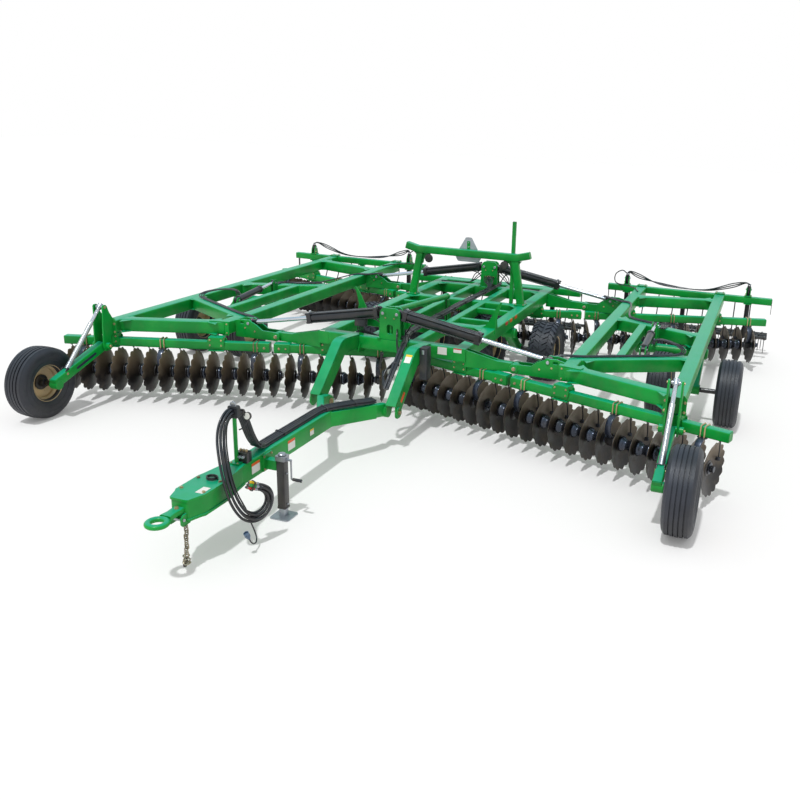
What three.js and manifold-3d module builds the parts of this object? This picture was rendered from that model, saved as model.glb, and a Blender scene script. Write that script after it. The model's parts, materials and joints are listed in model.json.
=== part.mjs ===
// A towed tandem disc harrow with folding wings, standing on its wheels and its tongue jack.
// Millimetres, +Z up. The tongue points along -Y, and the left wing, seen from the tractor, lies along +X.
// Places along Y are measured from the front face of the centre frame. The whole group is then moved
// so that its origin lies on the ground below the middle of the machine.
import * as THREE from "three";
import { mergeVertices } from "three/addons/utils/BufferGeometryUtils.js";
import Module from "manifold-3d";

const wasm = await Module();
wasm.setup();

// ---- Driving dimensions ------------------------------------------------------------------------

const GAP = 0.3; // between pieces that touch
const PIN_CLEARANCE = 0.8; // between a pin and its bore, on the radius
const SIDE_CLEARANCE = 6; // between an eye and the fork beside it

// Frame tubes
const FRAME_TOP = 952;
const TUBE = 150; // square frame tube of the rails and cross tubes
const SLIM_TUBE = 100; // square tube of the inner rails and gang beams

// Centre frame
const CENTRE_RAIL_X = 854; // to the middle of an outer rail
const CENTRE_INNER_X = 270; // to the middle of an inner rail
const CENTRE_LENGTH = 3950;
const CENTRE_CROSS_TUBES = [75, 1075, 2515, 3580, 3875]; // the middle of each tube, from the front face
const FIN_HEIGHT = 335;
const FIN_WIDTH = 210;
const FIN_THICKNESS = 20;

// Wing hinges
const HINGE_X = 1500;
const HINGE_Z = 806;
const HINGE_FRONT_Y = 60;
const HINGE_REAR_Y = 3580;
const HINGE_PIN_R = 25;
const HINGE_EYE_R = 55;
const ARM_GAP = 100; // between the two plates of a wing's hinge arm
const ARM_PLATE = 25;
const ARM_HEIGHT = 110;

// Wing frames
const WING_INNER_X = 2135; // to the middle of the inner rail
const WING_OUTER_X = 3335;
const WING_INNER_FRONT = -160;
const WING_OUTER_FRONT = -725;
const WING_REAR = 4775;
const WING_FRONT_TUBE = [-110, -560]; // where the front tube meets the inner rail and the outer rail
const WING_BRACE_TUBE = [210, 860];
const WING_MIDDLE_TUBE = [2440, 1930];
const WING_REAR_TUBE = [3990, 4330];
const WING_STUB_X = 2560; // to the middle of the short rail between the brace and the middle tube

// Fold cylinders
const CYLINDER_BASE_X = 87;
const CYLINDER_BASE_Z = 1257;
const LUG_X = 1880;
const LUG_Z = 930;
const BARREL_R = 65;
const BARREL_START = 72; // from the base pin to the barrel itself
const BARREL_LENGTH = 1010;
const BARREL_CAP_R = 78;
const ROD_R = 26;
const ROD_INSIDE = 210; // of the rod inside the barrel when it is fully out
const EYE_R = 44;
const EYE_WIDTH = 60;
const EYE_PIN_R = 19;

// Gangs: discs on a common axle below an angled beam
const GANG_ANGLE = 18;
const DISC_SPACING = 186;
const DISC_R = 270;
const DISC_THICKNESS = 14;
const SPOOL_WAIST_R = 34;
const AXLE_Z = 365;
const AXLE_AHEAD = 70; // the axle runs this far ahead of its beam
const WING_FIRST_DISC_X = 1420;
const FRONT_WING_DISCS = 14;
const REAR_WING_DISCS = 15;
const CENTRE_DISCS = 7;
const FRONT_BEAM_Y = -86; // the beam's middle line where it crosses the hinge line
const REAR_BEAM_Y = 3461;
const BEAM_TOP = 745;
const CENTRE_BEAM_ENDS = [40, 1475];
const WING_BEAM_START = 1525;
const FRONT_BEAM_END = 3871;
const REAR_BEAM_END = 4050;
const CLAMP_HALF = 50; // of the blocks that hang a beam below its frame
const HANGER_R = 95;
const HANGER_WIDTH = 55;
const HANGER_THICKNESS = 22;
const BEARING_R = 55;
const SADDLE_THICKNESS = 24;
const SADDLE_HALF = 62;

// Wheels
const WING_TYRE_R = 405;
const WING_TYRE_WIDTH = 270;
const WING_RIM_R = 205;
const CENTRE_TYRE_R = 405;
const CENTRE_TYRE_WIDTH = 340;
const CENTRE_RIM_R = 215;
const HUB_R = 85;
const AXLE_R = 30;
const AXLE_CLEARANCE = 1.5;
const GAUGE_WHEEL_X = 3545;
const GAUGE_WHEEL_Y = -1590;
const CENTRE_WHEEL_Y = 2290;
const CENTRE_WHEEL_OFFSET = 421; // of each wheel from the rail it carries
const WING_WHEEL_Y = 1450;
const WING_WHEEL_OFFSET = 400;

// Rockshafts and arms
const ROCKSHAFT_R = 62;
const ROCKSHAFT_Z = 722;
const CENTRE_ROCKSHAFT_Y = 1850;
const WING_ROCKSHAFT_Y = 1950;
const WHEEL_ARM_WIDTH = 110;
const WHEEL_ARM_DEPTH = 120;
const GAUGE_ARM_X = 3325;
const GAUGE_ARM_WIDTH = 90;
const GAUGE_PIVOT_Y = -860;
const GAUGE_PIVOT_Z = 685;
const GAUGE_STRUT_TOP_Y = -850;
const GAUGE_STRUT_TOP_Z = 1165;

// Masts and the bar that the folded wings rest on
const FRONT_MAST_TOP = 1320;
const REAR_MAST_TOP = 1335;
const MAST_WIDTH = 270;
const MAST_PLATE = 25;
const LEVEL_TUBE_R = 38;
const LEVEL_TUBE_END = [1790, 1130];
const REST_BAR_Y = 2515;
const REST_BAR_Z = 1605;
const REST_BAR_HALF = 740;
const REST_TIP_X = 910;
const REST_TIP_RISE = 45;
const REST_SIZE = 100;
const REST_FOOT_X = 809;
const REST_HEAD_X = 703;
const SIGN_Z = 1615;
const SIGN_R = 205;
const POST_TOP = 2080;
const POST_X = 650;

// Hitch
const LEG_X = 448;
const LEG_WIDTH = 120;
const TONGUE_PIN_Y = -860;
const TONGUE_PIN_Z = 425;
const TONGUE_PIN_R = 26;
const TONGUE_BOSS_R = 70;
const TONGUE_BEAM_TOP = 590;
const TONGUE_BEAM_BOTTOM = 410;
const TONGUE_BEAM_WIDTH = 160;
const TONGUE_BEAM_REAR = -1500;
const TONGUE_BEAM_FRONT = -3250;
const NOSE_FRONT = -3740;
const NOSE_WIDTH = 270;
const EYE_Y = -3985;
const EYE_Z = 498;
const EYE_RING_R = 95;
const EYE_HOLE_R = 42;
const EYE_RING_HEIGHT = 46;
const JACK_X = 235;
const JACK_Y = -2670;
const JACK_TUBE = 76;
const JACK_LEG = 62;
const JACK_TOP = 550;
const JACK_BOTTOM = 85;
const JACK_FOOT = 190;

// Hoses: a stand on the tongue holds their clamp, and they hang from it when the machine is parked
const STAND_Y = -2990;
const STAND_HALF = 22;
const STAND_TOP = 1010;
const CLAMP_Z = [995, 1104];
const CLAMP_WIDTH = 92;
const CLAMP_DEPTH = 50;
const HOSE_R = 11;
const HOSE_PITCH = 25; // between the middles of two hoses in the clamp
const LEAD_R = 6;
const BUNDLE_R = 31;
const GRIP_R = 14;
const GRIP_LENGTH = 95;
const PLUG_R = 22;
const PLUG_LENGTH = 75;

// The innermost hose, from the clamp down to its loop and up to the couplers.
const HOSE_ROUTE = [
  [0, -3015.7, 1030],
  [0, -3050, 1029.5],
  [3, -3088, 1009],
  [9, -3126, 974],
  [20, -3162, 920],
  [40, -3200, 850],
  [72, -3240, 772],
  [112, -3278, 690],
  [152, -3304, 610],
  [188, -3318, 530],
  [218, -3316, 455],
  [244, -3298, 385],
  [266, -3264, 325],
  [288, -3216, 290],
  [308, -3166, 283],
  [324, -3122, 302],
  [334, -3094, 342],
  [337, -3088, 390],
  [332, -3104, 434],
  [318, -3136, 466],
  [298, -3168, 484],
];
const HOSE_LOOP = [250, -3200, 410]; // the middle of the hanging loop
const HOSE_LANES = [
  [0, 0],
  [1, 0],
  [2, 0],
  [0.5, -0.9],
  [1.5, -0.9],
]; // how many pitches each hose lies outside the innermost one, and beside it
const HOSE_FAN = 0.55; // how much further apart the hoses lie at the bottom of the loop

// The lead for the lamps, from the clamp to its plug.
const LEAD_ROUTE = [
  [0, -3015.7, 1007],
  [0, -3046, 1006],
  [3, -3078, 988],
  [10, -3108, 958],
  [24, -3140, 908],
  [46, -3176, 838],
  [80, -3214, 762],
  [118, -3250, 682],
  [156, -3276, 604],
  [190, -3290, 528],
  [218, -3288, 456],
  [238, -3270, 392],
  [250, -3246, 330],
  [256, -3228, 268],
  [262, -3214, 214],
  [276, -3204, 162],
  [298, -3206, 116],
  [322, -3222, 80],
  [340, -3252, 62],
  [350, -3287, 62],
  [354, -3322, 78],
  [354, -3348, 106],
  [352, -3366, 140],
];

// The hoses that the tongue carries, from the clamp to its yoke.
const TONGUE_HOSE_ROUTE = [
  [0, -2964, 1050],
  [0, -2930, 1049],
  [5, -2890, 1016],
  [14, -2848, 930],
  [24, -2802, 800],
  [26, -2748, 706],
  [20, -2680, 648],
  [8, -2600, 627],
  [0, -2500, 622],
  [0, -2234, 622],
  [0, -1840, 622],
  [4, -1640, 624],
  [36, -1530, 626],
  [92, -1428, 624],
  [160, -1318, 620],
  [224, -1208, 612],
  [276, -1106, 600],
  [306, -1020, 590],
];

// The same hoses inside the left leg, up to the frame.
const LEG_HOSE_ROUTE = [
  [334, -800, 640],
  [338, -700, 744],
  [338, -600, 826],
  [332, -500, 892],
  [318, -400, 944],
  [296, -290, 976],
  [262, -170, 984],
  [224, -60, 984],
  [190, 20, 984],
];

// Harrows behind the rear gangs
const WING_HARROW_Y = 4826; // the middle of the wing toolbars
const CENTRE_HARROW_Y = CENTRE_LENGTH + SLIM_TUBE / 2;
const WING_HARROW_X = [1600, 4106];
const CENTRE_HARROW_HALF = 1330;
const HARROW_TOOLBAR_TOP = 952;
const HARROW_BARS = [0, 230, 460]; // behind the toolbar
const HARROW_BAR_Z = 330;
const HARROW_BAR_DROP = 20; // of each bar below the one ahead of it
const HARROW_BAR_R = 25;
const HARROW_LINK_END = 30; // of each link past its first and last bar

// ---- Materials ---------------------------------------------------------------------------------

function material(color, roughness, metalness) {
  return () => new THREE.MeshStandardMaterial({ color, roughness, metalness });
}

const greenPaint = material(0x00963c, 0.4, 0.1);
const blackPaint = material(0x15171c, 0.5, 0.2);
const discSteel = material(0x2a2420, 0.6, 0.5);
const chrome = material(0xc8ccd2, 0.15, 1.0);
const tyreRubber = material(0x20242c, 0.85, 0.0);
const blackPlastic = material(0x1c1d20, 0.6, 0.0);
const hoseRubber = material(0x16181c, 0.5, 0.0);

// ---- Small tools for shapes --------------------------------------------------------------------

// A closed geometry as a solid that can be joined and cut.
function solid(geometry) {
  const bare = geometry.clone();
  bare.deleteAttribute("normal");
  bare.deleteAttribute("uv");
  const merged = mergeVertices(bare, 1e-3);
  const mesh = new wasm.Mesh({
    numProp: 3,
    vertProperties: merged.attributes.position.array,
    triVerts: new Uint32Array(merged.index.array),
  });
  return new wasm.Manifold(mesh);
}

function geometryOf(shape) {
  const mesh = shape.getMesh();
  const geometry = new THREE.BufferGeometry();
  geometry.setAttribute("position", new THREE.BufferAttribute(mesh.vertProperties, 3));
  geometry.setIndex(new THREE.BufferAttribute(mesh.triVerts, 1));
  return geometry;
}

function join(...shapes) {
  return shapes.flat().reduce((all, one) => all.add(one));
}

function box(x, y, z) {
  const size = [x[1] - x[0], y[1] - y[0], z[1] - z[0]];
  const geometry = new THREE.BoxGeometry(...size);
  geometry.translate((x[0] + x[1]) / 2, (y[0] + y[1]) / 2, (z[0] + z[1]) / 2);
  return solid(geometry);
}

function point(x, y, z) {
  return new THREE.Vector3(x, y, z);
}

// A straight bar from one point to another. Its width lies level and its depth stands square to both.
function bar(from, to, width, depth) {
  const along = to.clone().sub(from);
  const length = along.length();
  along.normalize();
  const up = Math.abs(along.z) > 0.99 ? point(0, 1, 0) : point(0, 0, 1);
  const side = new THREE.Vector3().crossVectors(along, up).normalize();
  const top = new THREE.Vector3().crossVectors(side, along);
  const geometry = new THREE.BoxGeometry(width, length, depth);
  geometry.applyMatrix4(new THREE.Matrix4().makeBasis(side, along, top));
  const middle = from.clone().add(to).multiplyScalar(0.5);
  geometry.translate(middle.x, middle.y, middle.z);
  return solid(geometry);
}

// A round bar from one point to another.
function round(from, to, radius, sides = 10) {
  const along = to.clone().sub(from);
  const geometry = new THREE.CylinderGeometry(radius, radius, along.length(), sides);
  const turn = new THREE.Quaternion().setFromUnitVectors(point(0, 1, 0), along.normalize());
  geometry.applyQuaternion(turn);
  const middle = from.clone().add(to).multiplyScalar(0.5);
  geometry.translate(middle.x, middle.y, middle.z);
  return solid(geometry);
}

// The cutter of a bore whose flats clear a round bar of the given radius.
function boreCut(from, to, radius, sides = 12) {
  return round(from, to, (radius + PIN_CLEARANCE) / Math.cos(Math.PI / sides), sides);
}

// A many-sided hole that clears a round bar of the given radius.
function polygonHole(x, y, radius, sides) {
  const corner = radius / Math.cos(Math.PI / sides);
  const corners = [];
  for (let i = 0; i < sides; i += 1) {
    const angle = (-i * 2 * Math.PI) / sides;
    corners.push(new THREE.Vector2(x + corner * Math.cos(angle), y + corner * Math.sin(angle)));
  }
  return new THREE.Path(corners);
}

// A flat plate with an outline of [x, z] points, between two places along Y.
function plateAcross(outline, y) {
  const shape = new THREE.Shape(outline.map(([a, b]) => new THREE.Vector2(a, b)));
  const geometry = new THREE.ExtrudeGeometry(shape, { depth: y[1] - y[0], bevelEnabled: false });
  geometry.rotateX(Math.PI / 2);
  geometry.translate(0, y[1], 0);
  return solid(geometry);
}

// A flat plate with an outline of [y, z] points, between two places along X.
function plateAlong(outline, x) {
  const shape = new THREE.Shape(outline.map(([a, b]) => new THREE.Vector2(a, b)));
  const geometry = new THREE.ExtrudeGeometry(shape, { depth: x[1] - x[0], bevelEnabled: false });
  const turn = new THREE.Matrix4().makeBasis(point(0, 1, 0), point(0, 0, 1), point(1, 0, 0));
  geometry.applyMatrix4(turn);
  geometry.translate(x[0], 0, 0);
  return solid(geometry);
}

// A flat plate with an outline of [x, y] points, between two heights.
function plateFlat(outline, z) {
  const shape = new THREE.Shape(outline.map(([a, b]) => new THREE.Vector2(a, b)));
  const geometry = new THREE.ExtrudeGeometry(shape, { depth: z[1] - z[0], bevelEnabled: false });
  geometry.translate(0, 0, z[0]);
  return solid(geometry);
}

// A turned piece about the X axis: profile points are [radius, place along X].
function turned(profile, sides) {
  const outline = profile.map(([radius, along]) => new THREE.Vector2(radius, along));
  const geometry = new THREE.LatheGeometry(outline, sides);
  geometry.rotateZ(-Math.PI / 2);
  return geometry;
}

const machine = new THREE.Group();

function addNode(parent, name, shape, paint, position = point(0, 0, 0)) {
  const geometry = shape.isBufferGeometry ? shape : geometryOf(shape);
  const mesh = new THREE.Mesh(geometry, paint());
  mesh.name = name;
  mesh.position.copy(position);
  parent.add(mesh);
  return mesh;
}

// The two halves: the left half holds pieces as they are modelled, and the right half mirrors them.
const leftHalf = new THREE.Group();
const rightHalf = new THREE.Group();
rightHalf.scale.x = -1;
machine.add(leftHalf, rightHalf);
const HALVES = [
  [leftHalf, "left"],
  [rightHalf, "right"],
];

function addPair(name, shape, paint, position) {
  for (const [half, side] of HALVES) addNode(half, `${name}_${side}`, shape, paint, position);
}

// Both copies of a shape, the given one and its mirror image, as one list.
function mirrored(build) {
  return [build(1), build(-1)];
}

// ---- Gang lines --------------------------------------------------------------------------------

const slope = Math.tan(THREE.MathUtils.degToRad(GANG_ANGLE));
const cosGang = Math.cos(THREE.MathUtils.degToRad(GANG_ANGLE));
const sinGang = Math.sin(THREE.MathUtils.degToRad(GANG_ANGLE));

// The front gangs lead at their outer ends and the rear gangs trail there.
const FRONT = { sweep: -1, beamY: FRONT_BEAM_Y };
const REAR = { sweep: 1, beamY: REAR_BEAM_Y };

function beamY(row, x) {
  return row.beamY + row.sweep * slope * (x - HINGE_X);
}

function axleY(row, x) {
  return beamY(row, x) - AXLE_AHEAD / cosGang;
}

// ---- Gang beams with their bearing hangers -----------------------------------------------------

// A C-shaped spring hanger and its bearing, cut as one plate square to the beam, bulging forwards.
function hanger(row, x) {
  const top = BEAM_TOP - SLIM_TUBE;
  const saddle = top - SADDLE_THICKNESS;
  const centre = new THREE.Vector2(AXLE_AHEAD / 2, saddle - HANGER_R);
  const outer = HANGER_R + HANGER_THICKNESS;
  const shape = new THREE.Shape();
  shape.moveTo(-SADDLE_HALF, top + 3);
  shape.lineTo(-SADDLE_HALF, saddle);
  shape.absarc(centre.x, centre.y, HANGER_R, Math.PI / 2, -Math.PI / 2.2, true);
  shape.lineTo(AXLE_AHEAD - BEARING_R, AXLE_Z - BEARING_R);
  shape.lineTo(AXLE_AHEAD + BEARING_R, AXLE_Z - BEARING_R);
  shape.lineTo(AXLE_AHEAD + BEARING_R, AXLE_Z + BEARING_R * 0.6);
  shape.absarc(centre.x, centre.y, outer, -Math.PI / 3.2, Math.PI / 3.2, false);
  shape.lineTo(SADDLE_HALF, top + 3);
  shape.holes.push(polygonHole(AXLE_AHEAD, AXLE_Z, SPOOL_WAIST_R + PIN_CLEARANCE, 10));
  const geometry = new THREE.ExtrudeGeometry(shape, { depth: HANGER_WIDTH, bevelEnabled: false, curveSegments: 4 });
  const basis = new THREE.Matrix4().makeBasis(point(0, -1, 0), point(0, 0, 1), point(-1, 0, 0));
  geometry.applyMatrix4(basis);
  geometry.translate(HANGER_WIDTH / 2, 0, 0);
  geometry.rotateZ(row.sweep * THREE.MathUtils.degToRad(GANG_ANGLE));
  geometry.translate(x, beamY(row, x), 0);
  return solid(geometry);
}

// The place along X of the gap outside the disc of the given number.
function hangerX(firstX, index) {
  return firstX + (index + 0.5) * DISC_SPACING * cosGang;
}

function gangBeam(row, from, to, firstX, hangers, mounts) {
  const z = BEAM_TOP - SLIM_TUBE / 2;
  const half = SLIM_TUBE / 2;
  const tube = bar(point(from, beamY(row, from), z), point(to, beamY(row, to), z), SLIM_TUBE, SLIM_TUBE);
  const clamps = mounts.map((x) => {
    const y = beamY(row, x);
    return box([x - CLAMP_HALF, x + CLAMP_HALF], [y - half, y + half], [z, FRAME_TOP - TUBE - GAP]);
  });
  const carried = hangers.map((index) => hanger(row, hangerX(firstX, index)));
  return join(tube, clamps, carried);
}

const centreFirstDiscX = WING_FIRST_DISC_X - CENTRE_DISCS * DISC_SPACING * cosGang;

function centreBeam(row) {
  const half = gangBeam(
    row,
    ...CENTRE_BEAM_ENDS,
    centreFirstDiscX,
    [0, CENTRE_DISCS - 2],
    [CENTRE_RAIL_X],
  );
  const z = BEAM_TOP - SLIM_TUBE / 2;
  const tip = CENTRE_BEAM_ENDS[0] + 60;
  const y = beamY(row, tip);
  const bridge = box([-tip, tip], [y - SLIM_TUBE / 2, y + SLIM_TUBE / 2], [z - SLIM_TUBE / 2, z + SLIM_TUBE / 2]);
  const geometry = geometryOf(half);
  geometry.scale(-1, 1, 1);
  const index = geometry.index.array;
  for (let i = 0; i < index.length; i += 3) [index[i + 1], index[i + 2]] = [index[i + 2], index[i + 1]];
  return join(half, bridge, solid(geometry));
}

addNode(machine, "front_gang_beam_centre", centreBeam(FRONT), greenPaint);
addNode(machine, "rear_gang_beam_centre", centreBeam(REAR), greenPaint);

function wingBeam(row, end, discs) {
  const mounts = [WING_INNER_X, WING_OUTER_X];
  return gangBeam(row, WING_BEAM_START, end, WING_FIRST_DISC_X, [1, 7, discs - 2], mounts);
}

addPair("front_gang_beam", wingBeam(FRONT, FRONT_BEAM_END, FRONT_WING_DISCS), greenPaint);
addPair("rear_gang_beam", wingBeam(REAR, REAR_BEAM_END, REAR_WING_DISCS), greenPaint);

// ---- Gangs -------------------------------------------------------------------------------------

// Discs and spools on one axle, along X from the first disc outwards.
function gang(count) {
  const half = DISC_THICKNESS / 2;
  const profile = [
    [0, -60],
    [SPOOL_WAIST_R, -60],
  ];
  for (let i = 0; i < count; i += 1) {
    const x = i * DISC_SPACING;
    profile.push([SPOOL_WAIST_R, x - half], [DISC_R, x], [SPOOL_WAIST_R, x + half]);
  }
  const end = (count - 1) * DISC_SPACING + 70;
  profile.push([SPOOL_WAIST_R, end], [0, end]);
  return turned(profile, 8);
}

function addGang(name, row, firstX, count) {
  for (const [half, side] of HALVES) {
    const place = point(firstX, axleY(row, firstX), AXLE_Z);
    const mesh = addNode(half, `${name}_${side}`, gang(count), discSteel, place);
    mesh.rotation.z = row.sweep * THREE.MathUtils.degToRad(GANG_ANGLE);
  }
}

addGang("front_gang", FRONT, WING_FIRST_DISC_X, FRONT_WING_DISCS);
addGang("rear_gang", REAR, WING_FIRST_DISC_X, REAR_WING_DISCS);
addGang("front_centre_gang", FRONT, centreFirstDiscX, CENTRE_DISCS);
addGang("rear_centre_gang", REAR, centreFirstDiscX, CENTRE_DISCS);

// ---- Centre frame ------------------------------------------------------------------------------

const frameBottom = FRAME_TOP - TUBE;
const tubeZ = [frameBottom, FRAME_TOP];

function hitchLeg(side) {
  const x = side * LEG_X;
  const boss = TONGUE_BOSS_R;
  const outline = [
    [20, FRAME_TOP],
    [-330, FRAME_TOP + 30],
    [-430, FRAME_TOP + 8],
    [TONGUE_PIN_Y - 62, TONGUE_PIN_Z + 70],
    [TONGUE_PIN_Y - boss, TONGUE_PIN_Z],
    [TONGUE_PIN_Y - 40, TONGUE_PIN_Z - boss],
    [TONGUE_PIN_Y + 45, TONGUE_PIN_Z - boss],
    [TONGUE_PIN_Y + 105, TONGUE_PIN_Z + 10],
    [-330, frameBottom + 30],
    [20, frameBottom + 5],
  ];
  return plateAlong(outline, [x - LEG_WIDTH / 2, x + LEG_WIDTH / 2]);
}

function fin(side) {
  const y = CENTRE_CROSS_TUBES[1];
  const foot = CENTRE_RAIL_X + TUBE / 2;
  const outline = [
    [foot - FIN_WIDTH, FRAME_TOP - 5],
    [foot, FRAME_TOP - 5],
    [foot + 62, FRAME_TOP + FIN_HEIGHT],
    [foot + 20, FRAME_TOP + FIN_HEIGHT - 40],
    [foot - 60, FRAME_TOP + 150],
  ];
  const placed = outline.map(([x, z]) => [side * x, z]);
  if (side < 0) placed.reverse();
  return plateAcross(placed, [y - FIN_THICKNESS / 2, y + FIN_THICKNESS / 2]);
}

// The arm from a centre rail out to a wing hinge, with its eye and the hinge pin.
function outrigger(side, y) {
  const half = ARM_GAP / 2 - SIDE_CLEARANCE;
  const inner = side * (CENTRE_RAIL_X + TUBE / 2 - 20);
  const outer = side * HINGE_X;
  const body = box([Math.min(inner, outer), Math.max(inner, outer)], [y - half, y + half], [HINGE_Z - 50, HINGE_Z + 50]);
  const eye = round(point(outer, y - half, HINGE_Z), point(outer, y + half, HINGE_Z), HINGE_EYE_R, 12);
  const reach = ARM_GAP / 2 + ARM_PLATE + 12;
  const pin = round(point(outer, y - reach, HINGE_Z), point(outer, y + reach, HINGE_Z), HINGE_PIN_R);
  return join(body, eye, pin);
}

function centreFrame() {
  const width = CENTRE_RAIL_X + TUBE / 2;
  const rails = mirrored((side) => {
    const x = side * CENTRE_RAIL_X;
    return box([x - TUBE / 2, x + TUBE / 2], [0, CENTRE_LENGTH], tubeZ);
  });
  const crosses = CENTRE_CROSS_TUBES.map((y) => box([-width, width], [y - TUBE / 2, y + TUBE / 2], tubeZ));
  const inner = mirrored((side) => {
    const x = side * CENTRE_INNER_X;
    return box([x - SLIM_TUBE / 2, x + SLIM_TUBE / 2], [20, CENTRE_LENGTH - 20], [FRAME_TOP - 130, FRAME_TOP]);
  });
  const legs = mirrored(hitchLeg);
  const fins = mirrored(fin);
  const outriggers = [HINGE_FRONT_Y, HINGE_REAR_Y].flatMap((y) => mirrored((side) => outrigger(side, y)));
  const reach = LEG_X + LEG_WIDTH / 2 + 30;
  const pin = round(
    point(-reach, TONGUE_PIN_Y, TONGUE_PIN_Z),
    point(reach, TONGUE_PIN_Y, TONGUE_PIN_Z),
    TONGUE_PIN_R,
  );
  const pinGap = LEG_X - LEG_WIDTH / 2 - 95;
  const bay = box([-pinGap, pinGap], [TONGUE_PIN_Y - 100, TONGUE_PIN_Y + 100], [TONGUE_PIN_Z - 100, TONGUE_PIN_Z + 100]);
  return join(rails, crosses, inner, legs, fins, outriggers, pin.subtract(bay));
}

addNode(machine, "centre_frame", centreFrame(), greenPaint);

// ---- Masts, rest bar ---------------------------------------------------------------------------

// Two upright plates joined by a web, with room between them for the eyes of two cylinders.
function mast(y, top) {
  const gap = EYE_WIDTH / 2 + SIDE_CLEARANCE;
  const half = MAST_WIDTH / 2;
  const outline = [
    [-half, FRAME_TOP + GAP],
    [half, FRAME_TOP + GAP],
    [half, top - 40],
    [half - 40, top],
    [-half + 40, top],
    [-half, top - 40],
  ];
  const front = plateAcross(outline, [y - gap - MAST_PLATE, y - gap]);
  const rear = plateAcross(outline, [y + gap, y + gap + MAST_PLATE]);
  const web = box([-30, 30], [y - gap - 5, y + gap + 5], [FRAME_TOP + GAP, top - 30]);
  const reach = gap + MAST_PLATE + 15;
  const pins = mirrored((side) => {
    const x = side * CYLINDER_BASE_X;
    return round(point(x, y - reach, CYLINDER_BASE_Z), point(x, y + reach, CYLINDER_BASE_Z), EYE_PIN_R);
  });
  return join(front, rear, web, pins);
}

function frontMast() {
  const start = point(0, HINGE_FRONT_Y + 40, FRONT_MAST_TOP - 45);
  const end = point(0, ...LEVEL_TUBE_END);
  const tube = round(start, end, LEVEL_TUBE_R, 12);
  return join(mast(HINGE_FRONT_Y, FRONT_MAST_TOP), tube);
}

addNode(machine, "front_mast", frontMast(), greenPaint);
addNode(machine, "rear_mast", mast(HINGE_REAR_Y, REAR_MAST_TOP), greenPaint);

function wingRest() {
  const y = REST_BAR_Y;
  const half = REST_SIZE / 2;
  const beam = bar(point(-REST_BAR_HALF, y, REST_BAR_Z), point(REST_BAR_HALF, y, REST_BAR_Z), REST_SIZE, REST_SIZE);
  const tips = mirrored((side) => {
    const from = point(side * (REST_BAR_HALF - 12), y, REST_BAR_Z);
    const to = point(side * REST_TIP_X, y, REST_BAR_Z + REST_TIP_RISE);
    return bar(from, to, REST_SIZE, REST_SIZE);
  });
  const posts = mirrored((side) => {
    const foot = point(side * REST_FOOT_X, y, FRAME_TOP + half);
    const head = point(side * REST_HEAD_X, y, REST_BAR_Z);
    return bar(foot, head, REST_SIZE, REST_SIZE * 0.8);
  });
  const feet = mirrored((side) => {
    const x = side * REST_FOOT_X;
    return box([x - 65, x + 65], [y - 65, y + 65], [FRAME_TOP + GAP, FRAME_TOP + half + 12]);
  });
  const tall = box([POST_X - 25, POST_X + 25], [y + half - 6, y + half + 44], [FRAME_TOP + GAP, POST_TOP]);
  const sides = [];
  for (let i = 0; i < 3; i += 1) {
    const angle = Math.PI / 2 + (i * 2 * Math.PI) / 3;
    for (const spread of [-0.22, 0.22]) {
      sides.push([Math.cos(angle + spread) * SIGN_R, SIGN_Z + Math.sin(angle + spread) * SIGN_R]);
    }
  }
  const sign = plateAcross(sides, [y + half - 1, y + half + 4]);
  return join(beam, tips, posts, feet, tall, sign);
}

addNode(machine, "wing_rest", wingRest(), greenPaint);

// ---- Wing frames -------------------------------------------------------------------------------

// The plates that reach from the inner rail to the hinge and carry the slotted lug of the cylinder.
function hingeArm(y) {
  const half = ARM_HEIGHT / 2;
  const outline = [
    [HINGE_X - HINGE_EYE_R, HINGE_Z - 30],
    [HINGE_X - 30, HINGE_Z - half],
    [WING_INNER_X - TUBE / 2 + 5, HINGE_Z - half],
    [WING_INNER_X - TUBE / 2 + 5, FRAME_TOP],
    [LUG_X + 95, LUG_Z + 45],
    [LUG_X - 60, LUG_Z + 45],
    [LUG_X - 130, LUG_Z - 10],
    [LUG_X - 190, HINGE_Z + half],
    [HINGE_X - 30, HINGE_Z + half],
    [HINGE_X - HINGE_EYE_R, HINGE_Z + 30],
  ];
  const gap = ARM_GAP / 2;
  const plates = [
    plateAcross(outline, [y - gap - ARM_PLATE, y - gap]),
    plateAcross(outline, [y + gap, y + gap + ARM_PLATE]),
  ];
  const reach = gap + ARM_PLATE + 20;
  const bore = boreCut(point(HINGE_X, y - reach, HINGE_Z), point(HINGE_X, y + reach, HINGE_Z), HINGE_PIN_R);
  const lugBore = boreCut(point(LUG_X, y - reach, LUG_Z), point(LUG_X, y + reach, LUG_Z), EYE_PIN_R);
  return join(plates).subtract(bore).subtract(lugBore);
}

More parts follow.
